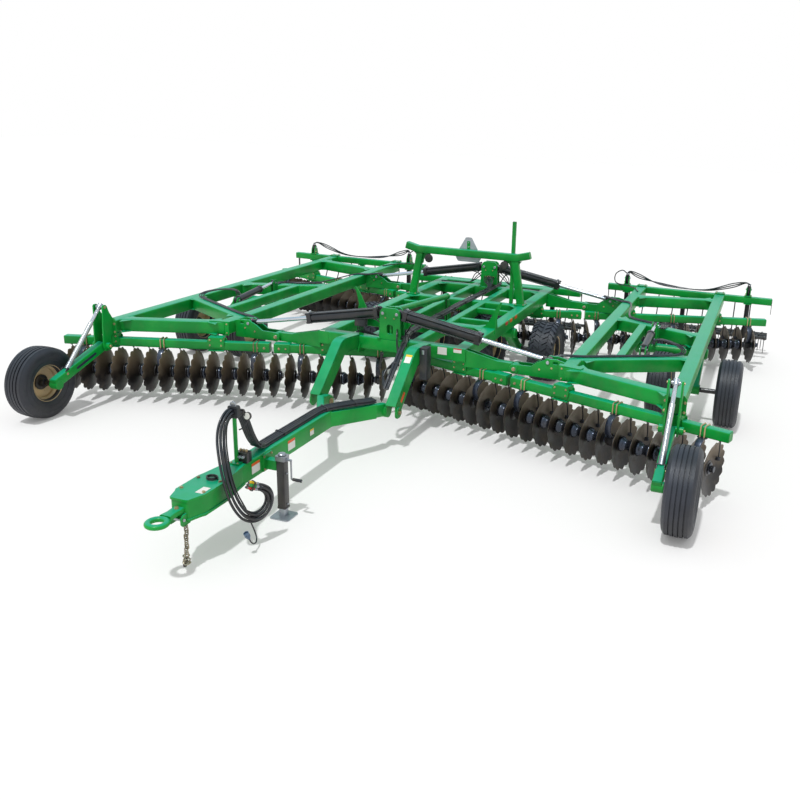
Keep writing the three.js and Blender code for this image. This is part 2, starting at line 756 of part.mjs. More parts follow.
function wingFrame() {
  const rail = (x, y) => box([x - TUBE / 2, x + TUBE / 2], y, tubeZ);
  const z = FRAME_TOP - TUBE / 2;
  const cross = ([innerY, outerY]) => bar(point(WING_INNER_X, innerY, z), point(WING_OUTER_X, outerY, z), TUBE, TUBE);
  const stubFront = THREE.MathUtils.mapLinear(WING_STUB_X, WING_INNER_X, WING_OUTER_X, ...WING_BRACE_TUBE);
  const stubRear = THREE.MathUtils.mapLinear(WING_STUB_X, WING_INNER_X, WING_OUTER_X, ...WING_MIDDLE_TUBE);
  const toolbarY = WING_HARROW_Y;
  const toolbar = box(
    WING_HARROW_X,
    [toolbarY - SLIM_TUBE / 2, toolbarY + SLIM_TUBE / 2],
    [HARROW_TOOLBAR_TOP - SLIM_TUBE, HARROW_TOOLBAR_TOP],
  );
  return join(
    rail(WING_INNER_X, [WING_INNER_FRONT, WING_REAR + 5]),
    rail(WING_OUTER_X, [WING_OUTER_FRONT, WING_REAR + 5]),
    cross(WING_FRONT_TUBE),
    cross(WING_BRACE_TUBE),
    cross(WING_MIDDLE_TUBE),
    cross(WING_REAR_TUBE),
    box([WING_STUB_X - 50, WING_STUB_X + 50], [stubFront, stubRear], [FRAME_TOP - 120, FRAME_TOP]),
    toolbar,
    hingeArm(HINGE_FRONT_Y),
    hingeArm(HINGE_REAR_Y),
  );
}

addPair("wing_frame", wingFrame(), greenPaint);

// ---- Fold cylinders ----------------------------------------------------------------------------

const CYLINDERS = [
  ["front", HINGE_FRONT_Y],
  ["rear", HINGE_REAR_Y],
];
const lugSpan = Math.hypot(LUG_X - CYLINDER_BASE_X, LUG_Z - CYLINDER_BASE_Z);
const lugTilt = Math.atan2(LUG_Z - CYLINDER_BASE_Z, LUG_X - CYLINDER_BASE_X);

function eye(x) {
  const ring = round(point(x, -EYE_WIDTH / 2, 0), point(x, EYE_WIDTH / 2, 0), EYE_R);
  return ring.subtract(boreCut(point(x, -EYE_WIDTH, 0), point(x, EYE_WIDTH, 0), EYE_PIN_R));
}

function barrel() {
  const start = BARREL_START;
  const end = BARREL_LENGTH;
  const neck = bar(point(EYE_PIN_R + 9, 0, 0), point(start + 20, 0, 0), EYE_WIDTH, EYE_R * 1.6);
  const tube = round(point(start, 0, 0), point(end, 0, 0), BARREL_R);
  const caps = [
    round(point(start, 0, 0), point(start + 45, 0, 0), BARREL_CAP_R),
    round(point(end - 50, 0, 0), point(end, 0, 0), BARREL_CAP_R),
  ];
  const bore = round(point(start + 60, 0, 0), point(end + 10, 0, 0), ROD_R + PIN_CLEARANCE, 12);
  return join(tube, caps, neck, eye(0)).subtract(bore);
}

function cylinderRod() {
  const shaft = round(point(BARREL_LENGTH - ROD_INSIDE, 0, 0), point(lugSpan - EYE_R + 6, 0, 0), ROD_R, 12);
  return join(shaft, eye(lugSpan));
}

for (const [place, y] of CYLINDERS) {
  for (const [half, side] of HALVES) {
    const base = point(CYLINDER_BASE_X, y, CYLINDER_BASE_Z);
    const barrelMesh = addNode(half, `${place}_fold_barrel_${side}`, barrel(), blackPaint, base);
    const rodMesh = addNode(half, `${place}_fold_rod_${side}`, cylinderRod(), chrome, base);
    barrelMesh.rotation.y = -lugTilt;
    rodMesh.rotation.y = -lugTilt;
  }
}

// ---- Wheels ------------------------------------------------------------------------------------

// Tyre, rim disc and hub in one turned outline that closes on itself around the axle's bore.
function wheel(radius, width, rimRadius) {
  const half = width / 2;
  const bore = AXLE_R + AXLE_CLEARANCE;
  const profile = [
    [bore, -half * 0.5],
    [HUB_R, -half * 0.5],
    [rimRadius - 12, -20],
    [rimRadius, -half * 0.78],
    [radius * 0.86, -half],
    [radius, -half * 0.7],
    [radius, half * 0.7],
    [radius * 0.86, half],
    [rimRadius, half * 0.78],
    [rimRadius - 12, 20],
    [HUB_R, half * 0.5],
    [bore, half * 0.5],
    [bore, -half * 0.5],
  ];
  return turned(profile, 12);
}

const wingWheel = () => wheel(WING_TYRE_R, WING_TYRE_WIDTH, WING_RIM_R);
const centreWheel = () => wheel(CENTRE_TYRE_R, CENTRE_TYRE_WIDTH, CENTRE_RIM_R);

for (const [half, side] of HALVES) {
  const gauge = point(GAUGE_WHEEL_X, GAUGE_WHEEL_Y, WING_TYRE_R);
  addNode(half, `gauge_wheel_${side}`, wingWheel(), tyreRubber, gauge);
  for (const [place, sign] of [["inner", -1], ["outer", 1]]) {
    const wing = point(WING_OUTER_X + sign * WING_WHEEL_OFFSET, WING_WHEEL_Y, WING_TYRE_R);
    addNode(half, `wing_wheel_${place}_${side}`, wingWheel(), tyreRubber, wing);
    const centre = point(CENTRE_RAIL_X + sign * CENTRE_WHEEL_OFFSET, CENTRE_WHEEL_Y, CENTRE_TYRE_R);
    addNode(half, `centre_wheel_${place}_${side}`, centreWheel(), tyreRubber, centre);
  }
}

// ---- Rockshafts with their wheel arms ----------------------------------------------------------

// A cranked arm down from the rockshaft, with the axle that carries a wheel on each side of it.
function wheelArm(x, shaftY, axleAt, axleZ, offset, wheelWidth) {
  const arm = bar(point(x, shaftY, ROCKSHAFT_Z), point(x, axleAt, axleZ), WHEEL_ARM_WIDTH, WHEEL_ARM_DEPTH);
  const boss = round(point(x - 70, axleAt, axleZ), point(x + 70, axleAt, axleZ), 62);
  const reach = offset + wheelWidth / 4 + 8;
  const axle = round(point(x - reach, axleAt, axleZ), point(x + reach, axleAt, axleZ), AXLE_R);
  const shaftBoss = round(point(x - 75, shaftY, ROCKSHAFT_Z), point(x + 75, shaftY, ROCKSHAFT_Z), ROCKSHAFT_R + 12);
  return join(arm, boss, axle, shaftBoss);
}

// A plate that hangs the rockshaft below a rail.
function shaftHanger(x, y) {
  return box([x - 15, x + 15], [y - 60, y + 60], [ROCKSHAFT_Z, frameBottom - GAP]);
}

function centreRockshaft() {
  const y = CENTRE_ROCKSHAFT_Y;
  const reach = CENTRE_RAIL_X + 110;
  const shaft = round(point(-reach, y, ROCKSHAFT_Z), point(reach, y, ROCKSHAFT_Z), ROCKSHAFT_R);
  const arms = mirrored((side) =>
    wheelArm(side * CENTRE_RAIL_X, y, CENTRE_WHEEL_Y, CENTRE_TYRE_R, CENTRE_WHEEL_OFFSET, CENTRE_TYRE_WIDTH),
  );
  const hangers = mirrored((side) => shaftHanger(side * (CENTRE_INNER_X + 430), y)).concat(
    mirrored((side) => shaftHanger(side * CENTRE_RAIL_X, y)),
  );
  const lever = plateAlong(
    [
      [y - 50, ROCKSHAFT_Z],
      [y + 50, ROCKSHAFT_Z],
      [LEVEL_TUBE_END[0] + 40, LEVEL_TUBE_END[1] - LEVEL_TUBE_R - GAP - 4],
      [LEVEL_TUBE_END[0] - 40, LEVEL_TUBE_END[1] - LEVEL_TUBE_R - GAP - 4],
    ],
    [-25, 25],
  );
  return join(shaft, arms, hangers, lever);
}

addNode(machine, "centre_rockshaft", centreRockshaft(), greenPaint);

function wingRockshaft() {
  const y = WING_ROCKSHAFT_Y;
  const from = point(WING_STUB_X - 60, y, ROCKSHAFT_Z);
  const to = point(WING_OUTER_X + 90, y, ROCKSHAFT_Z);
  const shaft = round(from, to, ROCKSHAFT_R);
  const arm = wheelArm(WING_OUTER_X, y, WING_WHEEL_Y, WING_TYRE_R, WING_WHEEL_OFFSET, WING_TYRE_WIDTH);
  const stubHanger = box(
    [WING_STUB_X - 15, WING_STUB_X + 15],
    [y - 60, y + 60],
    [ROCKSHAFT_Z, FRAME_TOP - 120 - GAP],
  );
  return join(shaft, arm, stubHanger, shaftHanger(WING_OUTER_X, y));
}

addPair("wing_rockshaft", wingRockshaft(), greenPaint);

// ---- Gauge wheel arms --------------------------------------------------------------------------

function gaugeArm() {
  const x = GAUGE_ARM_X;
  const half = GAUGE_ARM_WIDTH / 2;
  const pivot = point(x, GAUGE_PIVOT_Y, GAUGE_PIVOT_Z);
  const nose = point(x, GAUGE_WHEEL_Y - 40, WING_TYRE_R + 20);
  const arm = bar(pivot, nose, GAUGE_ARM_WIDTH, 110);
  const sleeve = round(point(x - 120, pivot.y, pivot.z), point(x + 120, pivot.y, pivot.z), 38, 14);
  const reach = GAUGE_WHEEL_X - x + WING_TYRE_WIDTH / 4 + 8;
  const axle = round(point(x, GAUGE_WHEEL_Y, WING_TYRE_R), point(x + reach, GAUGE_WHEEL_Y, WING_TYRE_R), AXLE_R);
  const cheek = (at) =>
    plateAlong(
      [
        [WING_OUTER_FRONT - GAP, FRAME_TOP + 20],
        [WING_OUTER_FRONT - GAP, frameBottom + 5],
        [GAUGE_PIVOT_Y + 70, frameBottom - 10],
        [GAUGE_PIVOT_Y + 55, GAUGE_PIVOT_Z - 60],
        [GAUGE_PIVOT_Y - 50, GAUGE_PIVOT_Z - 20],
        [GAUGE_PIVOT_Y - 50, GAUGE_PIVOT_Z + 60],
        [GAUGE_STRUT_TOP_Y - 40, FRAME_TOP + 60],
        [GAUGE_STRUT_TOP_Y - 30, GAUGE_STRUT_TOP_Z],
        [GAUGE_STRUT_TOP_Y + 30, GAUGE_STRUT_TOP_Z],
      ],
      at,
    );
  const cheeks = [cheek([x - half - 30, x - half - 10]), cheek([x + half + 10, x + half + 30])];
  const backPlate = box(
    [x - half - 30, x + half + 30],
    [WING_OUTER_FRONT - 20, WING_OUTER_FRONT - GAP],
    [frameBottom + 5, FRAME_TOP + 20],
  );
  const strutTop = point(x, GAUGE_STRUT_TOP_Y, GAUGE_STRUT_TOP_Z - 20);
  const strutFoot = point(x, GAUGE_WHEEL_Y + 120, WING_TYRE_R + 90);
  const strut = round(strutTop, strutFoot, 26, 12);
  const crossPin = round(
    point(x - half - 25, strutTop.y, strutTop.z),
    point(x + half + 25, strutTop.y, strutTop.z),
    18,
    12,
  );
  return join(arm, sleeve, axle, cheeks, backPlate, strut, crossPin);
}

addPair("gauge_arm", gaugeArm(), greenPaint);

// ---- Tongue and jack ---------------------------------------------------------------------------

function tongue() {
  const bossInner = LEG_X - LEG_WIDTH / 2 - 95;
  const bossOuter = LEG_X - LEG_WIDTH / 2 - SIDE_CLEARANCE;
  const z = [TONGUE_BEAM_BOTTOM, TONGUE_BEAM_TOP];
  const sides = mirrored((side) => {
    const from = point((side * (bossInner + bossOuter)) / 2, TONGUE_PIN_Y, TONGUE_PIN_Z + 10);
    const bend = point((side * (bossInner + bossOuter)) / 2 - side * 30, TONGUE_PIN_Y - 190, TONGUE_PIN_Z + 45);
    const to = point(side * 30, TONGUE_BEAM_REAR - 40, (z[0] + z[1]) / 2);
    return join(bar(from, bend, 80, 140), bar(bend, to, 80, 160));
  });
  const bosses = mirrored((side) => {
    const y = TONGUE_PIN_Y;
    return round(
      point(side * bossInner, y, TONGUE_PIN_Z),
      point(side * bossOuter, y, TONGUE_PIN_Z),
      TONGUE_BOSS_R,
      16,
    );
  });
  const bores = mirrored((side) => {
    const y = TONGUE_PIN_Y;
    return boreCut(
      point(side * (bossInner - 60), y, TONGUE_PIN_Z),
      point(side * (bossOuter + 10), y, TONGUE_PIN_Z),
      TONGUE_PIN_R,
    );
  });
  const half = TONGUE_BEAM_WIDTH / 2;
  const beam = box([-half, half], [TONGUE_BEAM_FRONT, TONGUE_BEAM_REAR], z);
  const nose = NOSE_WIDTH / 2;
  const noseOutline = [
    [-half, TONGUE_BEAM_FRONT + 260],
    [-nose, TONGUE_BEAM_FRONT - 60],
    [-nose, NOSE_FRONT + 130],
    [-70, NOSE_FRONT],
    [70, NOSE_FRONT],
    [nose, NOSE_FRONT + 130],
    [nose, TONGUE_BEAM_FRONT - 60],
    [half, TONGUE_BEAM_FRONT + 260],
  ];
  const plates = [
    plateFlat(noseOutline, [TONGUE_BEAM_TOP - 20, TONGUE_BEAM_TOP]),
    plateFlat(noseOutline, [TONGUE_BEAM_BOTTOM, TONGUE_BEAM_BOTTOM + 20]),
    box([-half, half], [NOSE_FRONT + 60, TONGUE_BEAM_FRONT + 20], [TONGUE_BEAM_BOTTOM + 5, TONGUE_BEAM_TOP - 5]),
  ];
  const shank = box([-45, 45], [EYE_Y + EYE_RING_R - 25, NOSE_FRONT + 80], [EYE_Z - 23, EYE_Z + 23]);
  const ring = round(
    point(0, EYE_Y, EYE_Z - EYE_RING_HEIGHT / 2),
    point(0, EYE_Y, EYE_Z + EYE_RING_HEIGHT / 2),
    EYE_RING_R,
    24,
  );
  const hole = round(point(0, EYE_Y, EYE_Z - 60), point(0, EYE_Y, EYE_Z + 60), EYE_HOLE_R, 12);
  const jackMount = box(
    [half - 5, JACK_X - JACK_TUBE / 2 - GAP],
    [JACK_Y - 38, JACK_Y + 38],
    [TONGUE_BEAM_BOTTOM + 30, JACK_TOP - 20],
  );
  const stand = box(
    [-STAND_HALF, STAND_HALF],
    [STAND_Y - STAND_HALF, STAND_Y + STAND_HALF],
    [TONGUE_BEAM_TOP - 10, STAND_TOP],
  );
  const clamp = box(
    [-CLAMP_WIDTH / 2, CLAMP_WIDTH / 2],
    [STAND_Y - CLAMP_DEPTH / 2, STAND_Y + CLAMP_DEPTH / 2],
    CLAMP_Z,
  );
  return join(sides, bosses, beam, plates, shank, ring, jackMount, stand, clamp)
    .subtract(join(bores))
    .subtract(hole);
}

addNode(machine, "tongue", tongue(), greenPaint);

function jackTube() {
  const half = JACK_TUBE / 2;
  const inside = JACK_LEG / 2 + PIN_CLEARANCE;
  const outer = box([JACK_X - half, JACK_X + half], [JACK_Y - half, JACK_Y + half], [JACK_BOTTOM, JACK_TOP]);
  const inner = box(
    [JACK_X - inside, JACK_X + inside],
    [JACK_Y - inside, JACK_Y + inside],
    [JACK_BOTTOM - 10, JACK_TOP - 20],
  );
  const head = box([JACK_X - 48, JACK_X + 48], [JACK_Y - 48, JACK_Y + 48], [JACK_TOP - 15, JACK_TOP + 50]);
  const crankZ = JACK_TOP - 5;
  const shaft = round(point(JACK_X + 40, JACK_Y, crankZ), point(JACK_X + 95, JACK_Y, crankZ), 10, 10);
  const crank = round(point(JACK_X + 88, JACK_Y, crankZ + 8), point(JACK_X + 88, JACK_Y, crankZ - 180), 8, 10);
  const grip = round(point(JACK_X + 82, JACK_Y, crankZ - 176), point(JACK_X + 190, JACK_Y, crankZ - 176), 14, 10);
  return join(outer.subtract(inner), head, shaft, crank, grip);
}

function jackLeg() {
  const half = JACK_LEG / 2;
  const leg = box([JACK_X - half, JACK_X + half], [JACK_Y - half, JACK_Y + half], [5, JACK_BOTTOM + 210]);
  const foot = JACK_FOOT / 2;
  const plate = box([JACK_X - foot, JACK_X + foot], [JACK_Y - foot, JACK_Y + foot], [0, 10]);
  return join(leg, plate);
}

addNode(machine, "jack_tube", jackTube(), blackPaint);
addNode(machine, "jack_leg", jackLeg(), chrome);

// ---- Hoses and lead ----------------------------------------------------------------------------

function routePoints(route) {
  return route.map(([x, y, z]) => point(x, y, z));
}

// A round cord with many-sided ends along a smooth curve through the points.
function cord(points, radius, steps, sides = 8) {
  const corners = [];
  for (let i = 0; i < sides; i += 1) {
    const angle = (i * 2 * Math.PI) / sides;
    corners.push(new THREE.Vector2(radius * Math.cos(angle), radius * Math.sin(angle)));
  }
  const extrudePath = new THREE.CatmullRomCurve3(points);
  return new THREE.ExtrudeGeometry(new THREE.Shape(corners), { steps, extrudePath, bevelEnabled: false });
}

// The route of the hose in the given lane: the shared route moved out from its loop and to its side.
function laneRoute([outward, beside]) {
  const route = routePoints(HOSE_ROUTE);
  const middle = point(...HOSE_LOOP);
  return route.map((here, i) => {
    const before = route[Math.max(i - 1, 0)];
    const after = route[Math.min(i + 1, route.length - 1)];
    const along = i === 0 ? point(0, -1, 0) : after.clone().sub(before).normalize();
    const away = here.clone().sub(middle);
    const out = away.sub(along.clone().multiplyScalar(away.dot(along))).normalize();
    const side = new THREE.Vector3().crossVectors(along, out);
    const fan = 1 + HOSE_FAN * Math.sin((Math.PI * i) / (route.length - 1)) ** 2;
    return here
      .clone()
      .addScaledVector(out, outward * HOSE_PITCH * fan)
      .addScaledVector(side, beside * HOSE_PITCH);
  });
}

const hoseRoutes = HOSE_LANES.map(laneRoute);
hoseRoutes.forEach((route, i) => addNode(machine, `hose_${i + 1}`, cord(route, HOSE_R, 25), hoseRubber));
addNode(machine, "lead", cord(routePoints(LEAD_ROUTE), LEAD_R, 42), hoseRubber);
addNode(machine, "tongue_hoses", cord(routePoints(TONGUE_HOSE_ROUTE), BUNDLE_R, 17), hoseRubber);
addNode(machine, "leg_hoses", cord(routePoints(LEG_HOSE_ROUTE), BUNDLE_R, 8), hoseRubber);

// The end of a route, moved on by the gap, and the direction in which the route leaves it.
function routeEnd(points) {
  const last = points[points.length - 1];
  const along = last.clone().sub(points[points.length - 2]).normalize();
  return [last.clone().addScaledVector(along, GAP + 0.5), along];
}

// A grip on the end of each hose, all held side by side by one strap.
function couplers() {
  const grips = hoseRoutes.map((route) => {
    const [start, along] = routeEnd(route);
    return round(start, start.clone().addScaledVector(along, GRIP_LENGTH), GRIP_R, 6);
  });
  const [start, along] = routeEnd(hoseRoutes[1]);
  const strap = [40, 56].map((at) => start.clone().addScaledVector(along, at));
  return join(grips, round(strap[0], strap[1], HOSE_PITCH * 1.9, 8));
}

addNode(machine, "hose_couplers", couplers(), hoseRubber);

const [plugStart, plugAlong] = routeEnd(routePoints(LEAD_ROUTE));
const plugBody = round(plugStart, plugStart.clone().addScaledVector(plugAlong, PLUG_LENGTH), PLUG_R, 12);
addNode(machine, "lead_plug", plugBody, blackPlastic);

// ---- Manual box --------------------------------------------------------------------------------

const legOuter = LEG_X + LEG_WIDTH / 2;
const manualBox = box([legOuter + GAP, legOuter + 95], [-330, -200], [640, 1000]);
addNode(machine, "manual_box", manualBox, blackPlastic);

// ---- Harrows -----------------------------------------------------------------------------------

// Bars for the spring tines, carried below a toolbar by hanger arms.
function harrow(x, toolbarY, arms) {
  const barY = HARROW_BARS.map((behind) => toolbarY + behind);
  const bars = barY.map((y, i) => {
    const z = HARROW_BAR_Z - i * HARROW_BAR_DROP;
    return round(point(x[0], y, z), point(x[1], y, z), HARROW_BAR_R, 6);
  });
  const last = barY.length - 1;
  const links = arms.map((at) =>
    plateAlong(
      [
        [barY[0] - HARROW_LINK_END, HARROW_BAR_Z - 30],
        [barY[last] + HARROW_LINK_END, HARROW_BAR_Z - last * HARROW_BAR_DROP - 30],
        [barY[last] + HARROW_LINK_END, HARROW_BAR_Z - last * HARROW_BAR_DROP + 30],
        [barY[0] - HARROW_LINK_END, HARROW_BAR_Z + 30],
      ],
      [at - 10, at + 10],
    ),
  );
  const low = HARROW_TOOLBAR_TOP - SLIM_TUBE - GAP;
  const drops = arms.map((at) => box([at - 35, at + 35], [toolbarY - 35, toolbarY + 35], [HARROW_BAR_Z - 20, low]));
  return join(bars, links, drops);
}

const wingArms = [1900, 2800, 3760];
const centreArms = [-900, 0, 900];
for (const [half, side] of HALVES) {
  addNode(half, `harrow_${side}`, harrow(WING_HARROW_X, WING_HARROW_Y, wingArms), blackPaint);
}

function centreHarrow() {
  const y = CENTRE_HARROW_Y;
  const half = CENTRE_HARROW_HALF;
  const toolbar = box(
    [-half, half],
    [y - SLIM_TUBE / 2 + GAP, y + SLIM_TUBE / 2],
    [HARROW_TOOLBAR_TOP - SLIM_TUBE - 5, HARROW_TOOLBAR_TOP],
  );
  return join(toolbar, harrow([-half, half], y, centreArms));
}

addNode(machine, "harrow_centre", centreHarrow(), blackPaint);

// ---- Origin ------------------------------------------------------------------------------------

const noseY = EYE_Y - EYE_RING_R;
const tailY = WING_HARROW_Y + HARROW_BARS[HARROW_BARS.length - 1] + HARROW_LINK_END;
const part = new THREE.Group();
part.add(machine);
machine.position.y = -(noseY + tailY) / 2;

export default part;
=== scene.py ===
"""The looks of a towed tandem disc harrow with folding wings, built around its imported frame."""
import json
import math
import random
from itertools import product
import bmesh
import bpy
from mathutils import Matrix, Vector
from mathutils.geometry import tessellate_polygon


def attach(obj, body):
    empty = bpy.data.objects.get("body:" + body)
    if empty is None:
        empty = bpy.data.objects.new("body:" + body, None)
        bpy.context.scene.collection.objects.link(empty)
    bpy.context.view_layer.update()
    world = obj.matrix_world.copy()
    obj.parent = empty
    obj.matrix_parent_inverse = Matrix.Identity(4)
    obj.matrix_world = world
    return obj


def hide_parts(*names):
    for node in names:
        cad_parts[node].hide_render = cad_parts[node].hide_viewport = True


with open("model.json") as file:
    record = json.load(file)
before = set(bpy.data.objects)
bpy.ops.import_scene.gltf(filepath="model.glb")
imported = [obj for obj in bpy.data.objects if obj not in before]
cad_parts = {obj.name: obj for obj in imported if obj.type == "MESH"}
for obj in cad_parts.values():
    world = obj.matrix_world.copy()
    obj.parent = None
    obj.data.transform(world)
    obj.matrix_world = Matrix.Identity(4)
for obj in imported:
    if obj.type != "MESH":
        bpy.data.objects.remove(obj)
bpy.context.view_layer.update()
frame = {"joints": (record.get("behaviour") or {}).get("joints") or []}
random.seed(11)

# ---- Sizes, in millimetres, with Y from the front face of the centre frame ----------------------

HINGE_X, HINGE_Z, HINGE_FRONT_Y, HINGE_REAR_Y = 1500, 806, 60, 3580
HINGE_EYE_R, HINGE_PIN_R, ARM_GAP, ARM_PLATE, ARM_HEIGHT = 55, 25, 100, 25, 110
FRAME_TOP, TUBE, SLIM_TUBE = 952, 150, 100
CENTRE_RAIL_X, CENTRE_INNER_X, CENTRE_LENGTH = 854, 270, 3950
CENTRE_CROSS_TUBES = [75, 1075, 2515, 3580, 3875]
FIN_HEIGHT, FIN_WIDTH = 335, 210
WING_INNER_X, WING_OUTER_X, WING_STUB_X = 2135, 3335, 2560
WING_INNER_FRONT, WING_OUTER_FRONT, WING_REAR = -160, -725, 4780
WING_FRONT_TUBE, WING_BRACE_TUBE = [-110, -560], [210, 860]
WING_MIDDLE_TUBE, WING_REAR_TUBE = [2440, 1930], [3990, 4330]
CYLINDER_BASE_X, CYLINDER_BASE_Z, LUG_X, LUG_Z = 87, 1257, 1880, 930
BARREL_START, BARREL_LENGTH, EYE_R, EYE_WIDTH = 72, 1010, 44, 60
ROD_R, EYE_PIN_R, ROD_INSIDE = 26, 19, 210
DISC_SPACING, DISC_R, AXLE_Z, AXLE_AHEAD = 186, 270, 365, 70
FIRST_DISC_X, FRONT_DISCS, REAR_DISCS, CENTRE_DISCS = 1420, 14, 15, 7
FRONT_BEAM_Y, REAR_BEAM_Y, BEAM_TOP = -86, 3461, 745
CENTRE_BEAM_END, WING_BEAM_START = 1475, 1525
FRONT_BEAM_END, REAR_BEAM_END = 3871, 4050
HANGER_WIDTH, SPRING_R = 55, 118
TYRE_R, WING_TYRE_WIDTH, CENTRE_TYRE_WIDTH = 405, 270, 340
WING_RIM_R, CENTRE_RIM_R, HUB_R, AXLE_R = 205, 215, 85, 30
GAUGE_WHEEL_X, GAUGE_WHEEL_Y = 3545, -1590
CENTRE_WHEEL_Y, CENTRE_WHEEL_OFFSET = 2290, 421
WING_WHEEL_Y, WING_WHEEL_OFFSET = 1450, 400
ROCKSHAFT_R, ROCKSHAFT_Z = 62, 722
CENTRE_ROCKSHAFT_Y, WING_ROCKSHAFT_Y = 1850, 1950
GAUGE_ARM_X, GAUGE_ARM_WIDTH = 3325, 90
GAUGE_PIVOT_Y, GAUGE_PIVOT_Z, STRUT_TOP_Y, STRUT_TOP_Z = -860, 685, -850, 1165
FRONT_MAST_TOP, REAR_MAST_TOP, MAST_WIDTH = 1320, 1335, 270
LEVEL_TUBE_END = (1790, 1130)
REST_BAR_Y, REST_BAR_Z, REST_BAR_HALF = 2515, 1605, 740
REST_TIP_X, REST_TIP_RISE, REST_SIZE = 910, 45, 100
REST_FOOT_X, REST_HEAD_X, SIGN_Z, SIGN_R = 809, 703, 1615, 205
POST_X, POST_TOP, LAMP_X = 650, 2080, 562
LEG_X, LEG_WIDTH, TONGUE_PIN_Y, TONGUE_PIN_Z = 448, 120, -860, 425
BEAM_LOW, BEAM_HIGH, BEAM_WIDTH, BEAM_REAR, BEAM_FRONT = 410, 590, 160, -1500, -3250
NOSE_FRONT, NOSE_WIDTH, EYE_Y, EYE_Z = -3740, 270, -3985, 498
STAND_Y, STAND_TOP, CLAMP_Z, GAUGE_PLACE = -2990, 1010, 1049, (60, -2880, 984)
CHAIN_X, CHAIN_Y, CHAIN_TOP, LINK_PITCH = 60, -3745, 384, 34
JACK_X, JACK_Y, JACK_TUBE = 235, -2670, 76
JACK_TOP, JACK_BOTTOM, JACK_FOOT = 550, 85, 190
WING_HARROW_Y, CENTRE_HARROW_Y, HARROW_TOP = 4826, 4000, 952
WING_HARROW_X, CENTRE_HARROW_HALF = (1600, 4106), 1330
HARROW_BARS, HARROW_BAR_Z, HARROW_BAR_DROP, HARROW_BAR_R = [0, 230, 460], 330, 20, 25
WING_HARROW_ARMS, CENTRE_HARROW_ARMS = [1900, 2800, 3760], [-900, 0, 900]
TINE_SPACING, TINE_STAGGER, SPRING_ARM_SPACING = 122, 40, 235
HARROW_POSTS = (1894, 3752)

FRAME_BOTTOM = FRAME_TOP - TUBE
TUBE_Z = FRAME_TOP - TUBE / 2
BEAM_BOTTOM = BEAM_TOP - SLIM_TUBE
BEAM_MIDDLE = BEAM_TOP - SLIM_TUBE / 2
TONGUE_Z = (BEAM_LOW + BEAM_HIGH) / 2
HARROW_BOTTOM = HARROW_TOP - SLIM_TUBE
GANG_ANGLE = math.radians(18)
SLOPE, COS_GANG, SIN_GANG = math.tan(GANG_ANGLE), math.cos(GANG_ANGLE), math.sin(GANG_ANGLE)
CENTRE_FIRST_X = FIRST_DISC_X - CENTRE_DISCS * DISC_SPACING * COS_GANG
FRONT, REAR = (-1, FRONT_BEAM_Y), (1, REAR_BEAM_Y)  # a row's slant, and its beam's Y at the hinge
FRONT_HANGERS, REAR_HANGERS = [1, 7, FRONT_DISCS - 2], [1, 7, REAR_DISCS - 2]
CENTRE_HANGERS = [0, CENTRE_DISCS - 2]
ALONG_X, ALONG_Y, UP = Vector((1, 0, 0)), Vector((0, 1, 0)), Vector((0, 0, 1))
BOTH = (-1, 1)
SIDES = ("left", "right")

# The wing hinge's own place in the frame gives the offset between these places and the frame's.
hinge_place = next(j for j in frame["joints"] if j["name"] == "fold_left")["pos_m"]
FRONT_FACE = hinge_place[1] - HINGE_FRONT_Y / 1000


def to_frame(point):
    return (point[0] / 1000, point[1] / 1000 + FRONT_FACE, point[2] / 1000)


# ---- Materials ---------------------------------------------------------------------------------


def linear(colour):
    """A colour as seen on a screen, 0 to 255, as the linear values that a shader takes."""
    parts = [c / 255 for c in colour]
    return [c / 12.92 if c <= 0.04045 else ((c + 0.055) / 1.055) ** 2.4 for c in parts] + [1]


def feed(tree, socket, value):
    """Links a socket to the value's node, or sets it to a plain value."""
    if isinstance(value, bpy.types.NodeSocket):
        tree.links.new(value, socket)
    else:
        socket.default_value = value


def node(tree, kind, settings=None, **sockets):
    made = tree.nodes.new("ShaderNode" + kind)
    for name, value in (settings or {}).items():
        setattr(made, name, value)
    for name, value in sockets.items():
        feed(tree, made.inputs[name.replace("_", " ")], value)
    return made


def calculate(tree, operation, *values, clamp=False):
    made = node(tree, "Math", {"operation": operation, "use_clamp": clamp})
    for socket, value in zip(made.inputs, values):
        feed(tree, socket, value)
    return made.outputs[0]


def multiply(tree, first, second):
    return calculate(tree, "MULTIPLY", first, second)


def blend_colours(tree, share, first, second):
    made = node(tree, "Mix", {"data_type": "RGBA"})
    for index, value in ((0, share), (6, first), (7, second)):
        feed(tree, made.inputs[index], value)
    return made.outputs[2]


def ramp(tree, value, low, high, to_low=0.0, to_high=1.0):
    limits = {"From_Min": low, "From_Max": high, "To_Min": to_low, "To_Max": to_high}
    made = node(tree, "MapRange", {"interpolation_type": "SMOOTHSTEP"}, Value=value, **limits)
    return made.outputs["Result"]


def noise(tree, coordinates, scale, detail=3):
    return node(tree, "TexNoise", Vector=coordinates, Scale=scale, Detail=detail).outputs["Fac"]


DUST, CHIPPED = (150, 132, 104), (58, 50, 42)


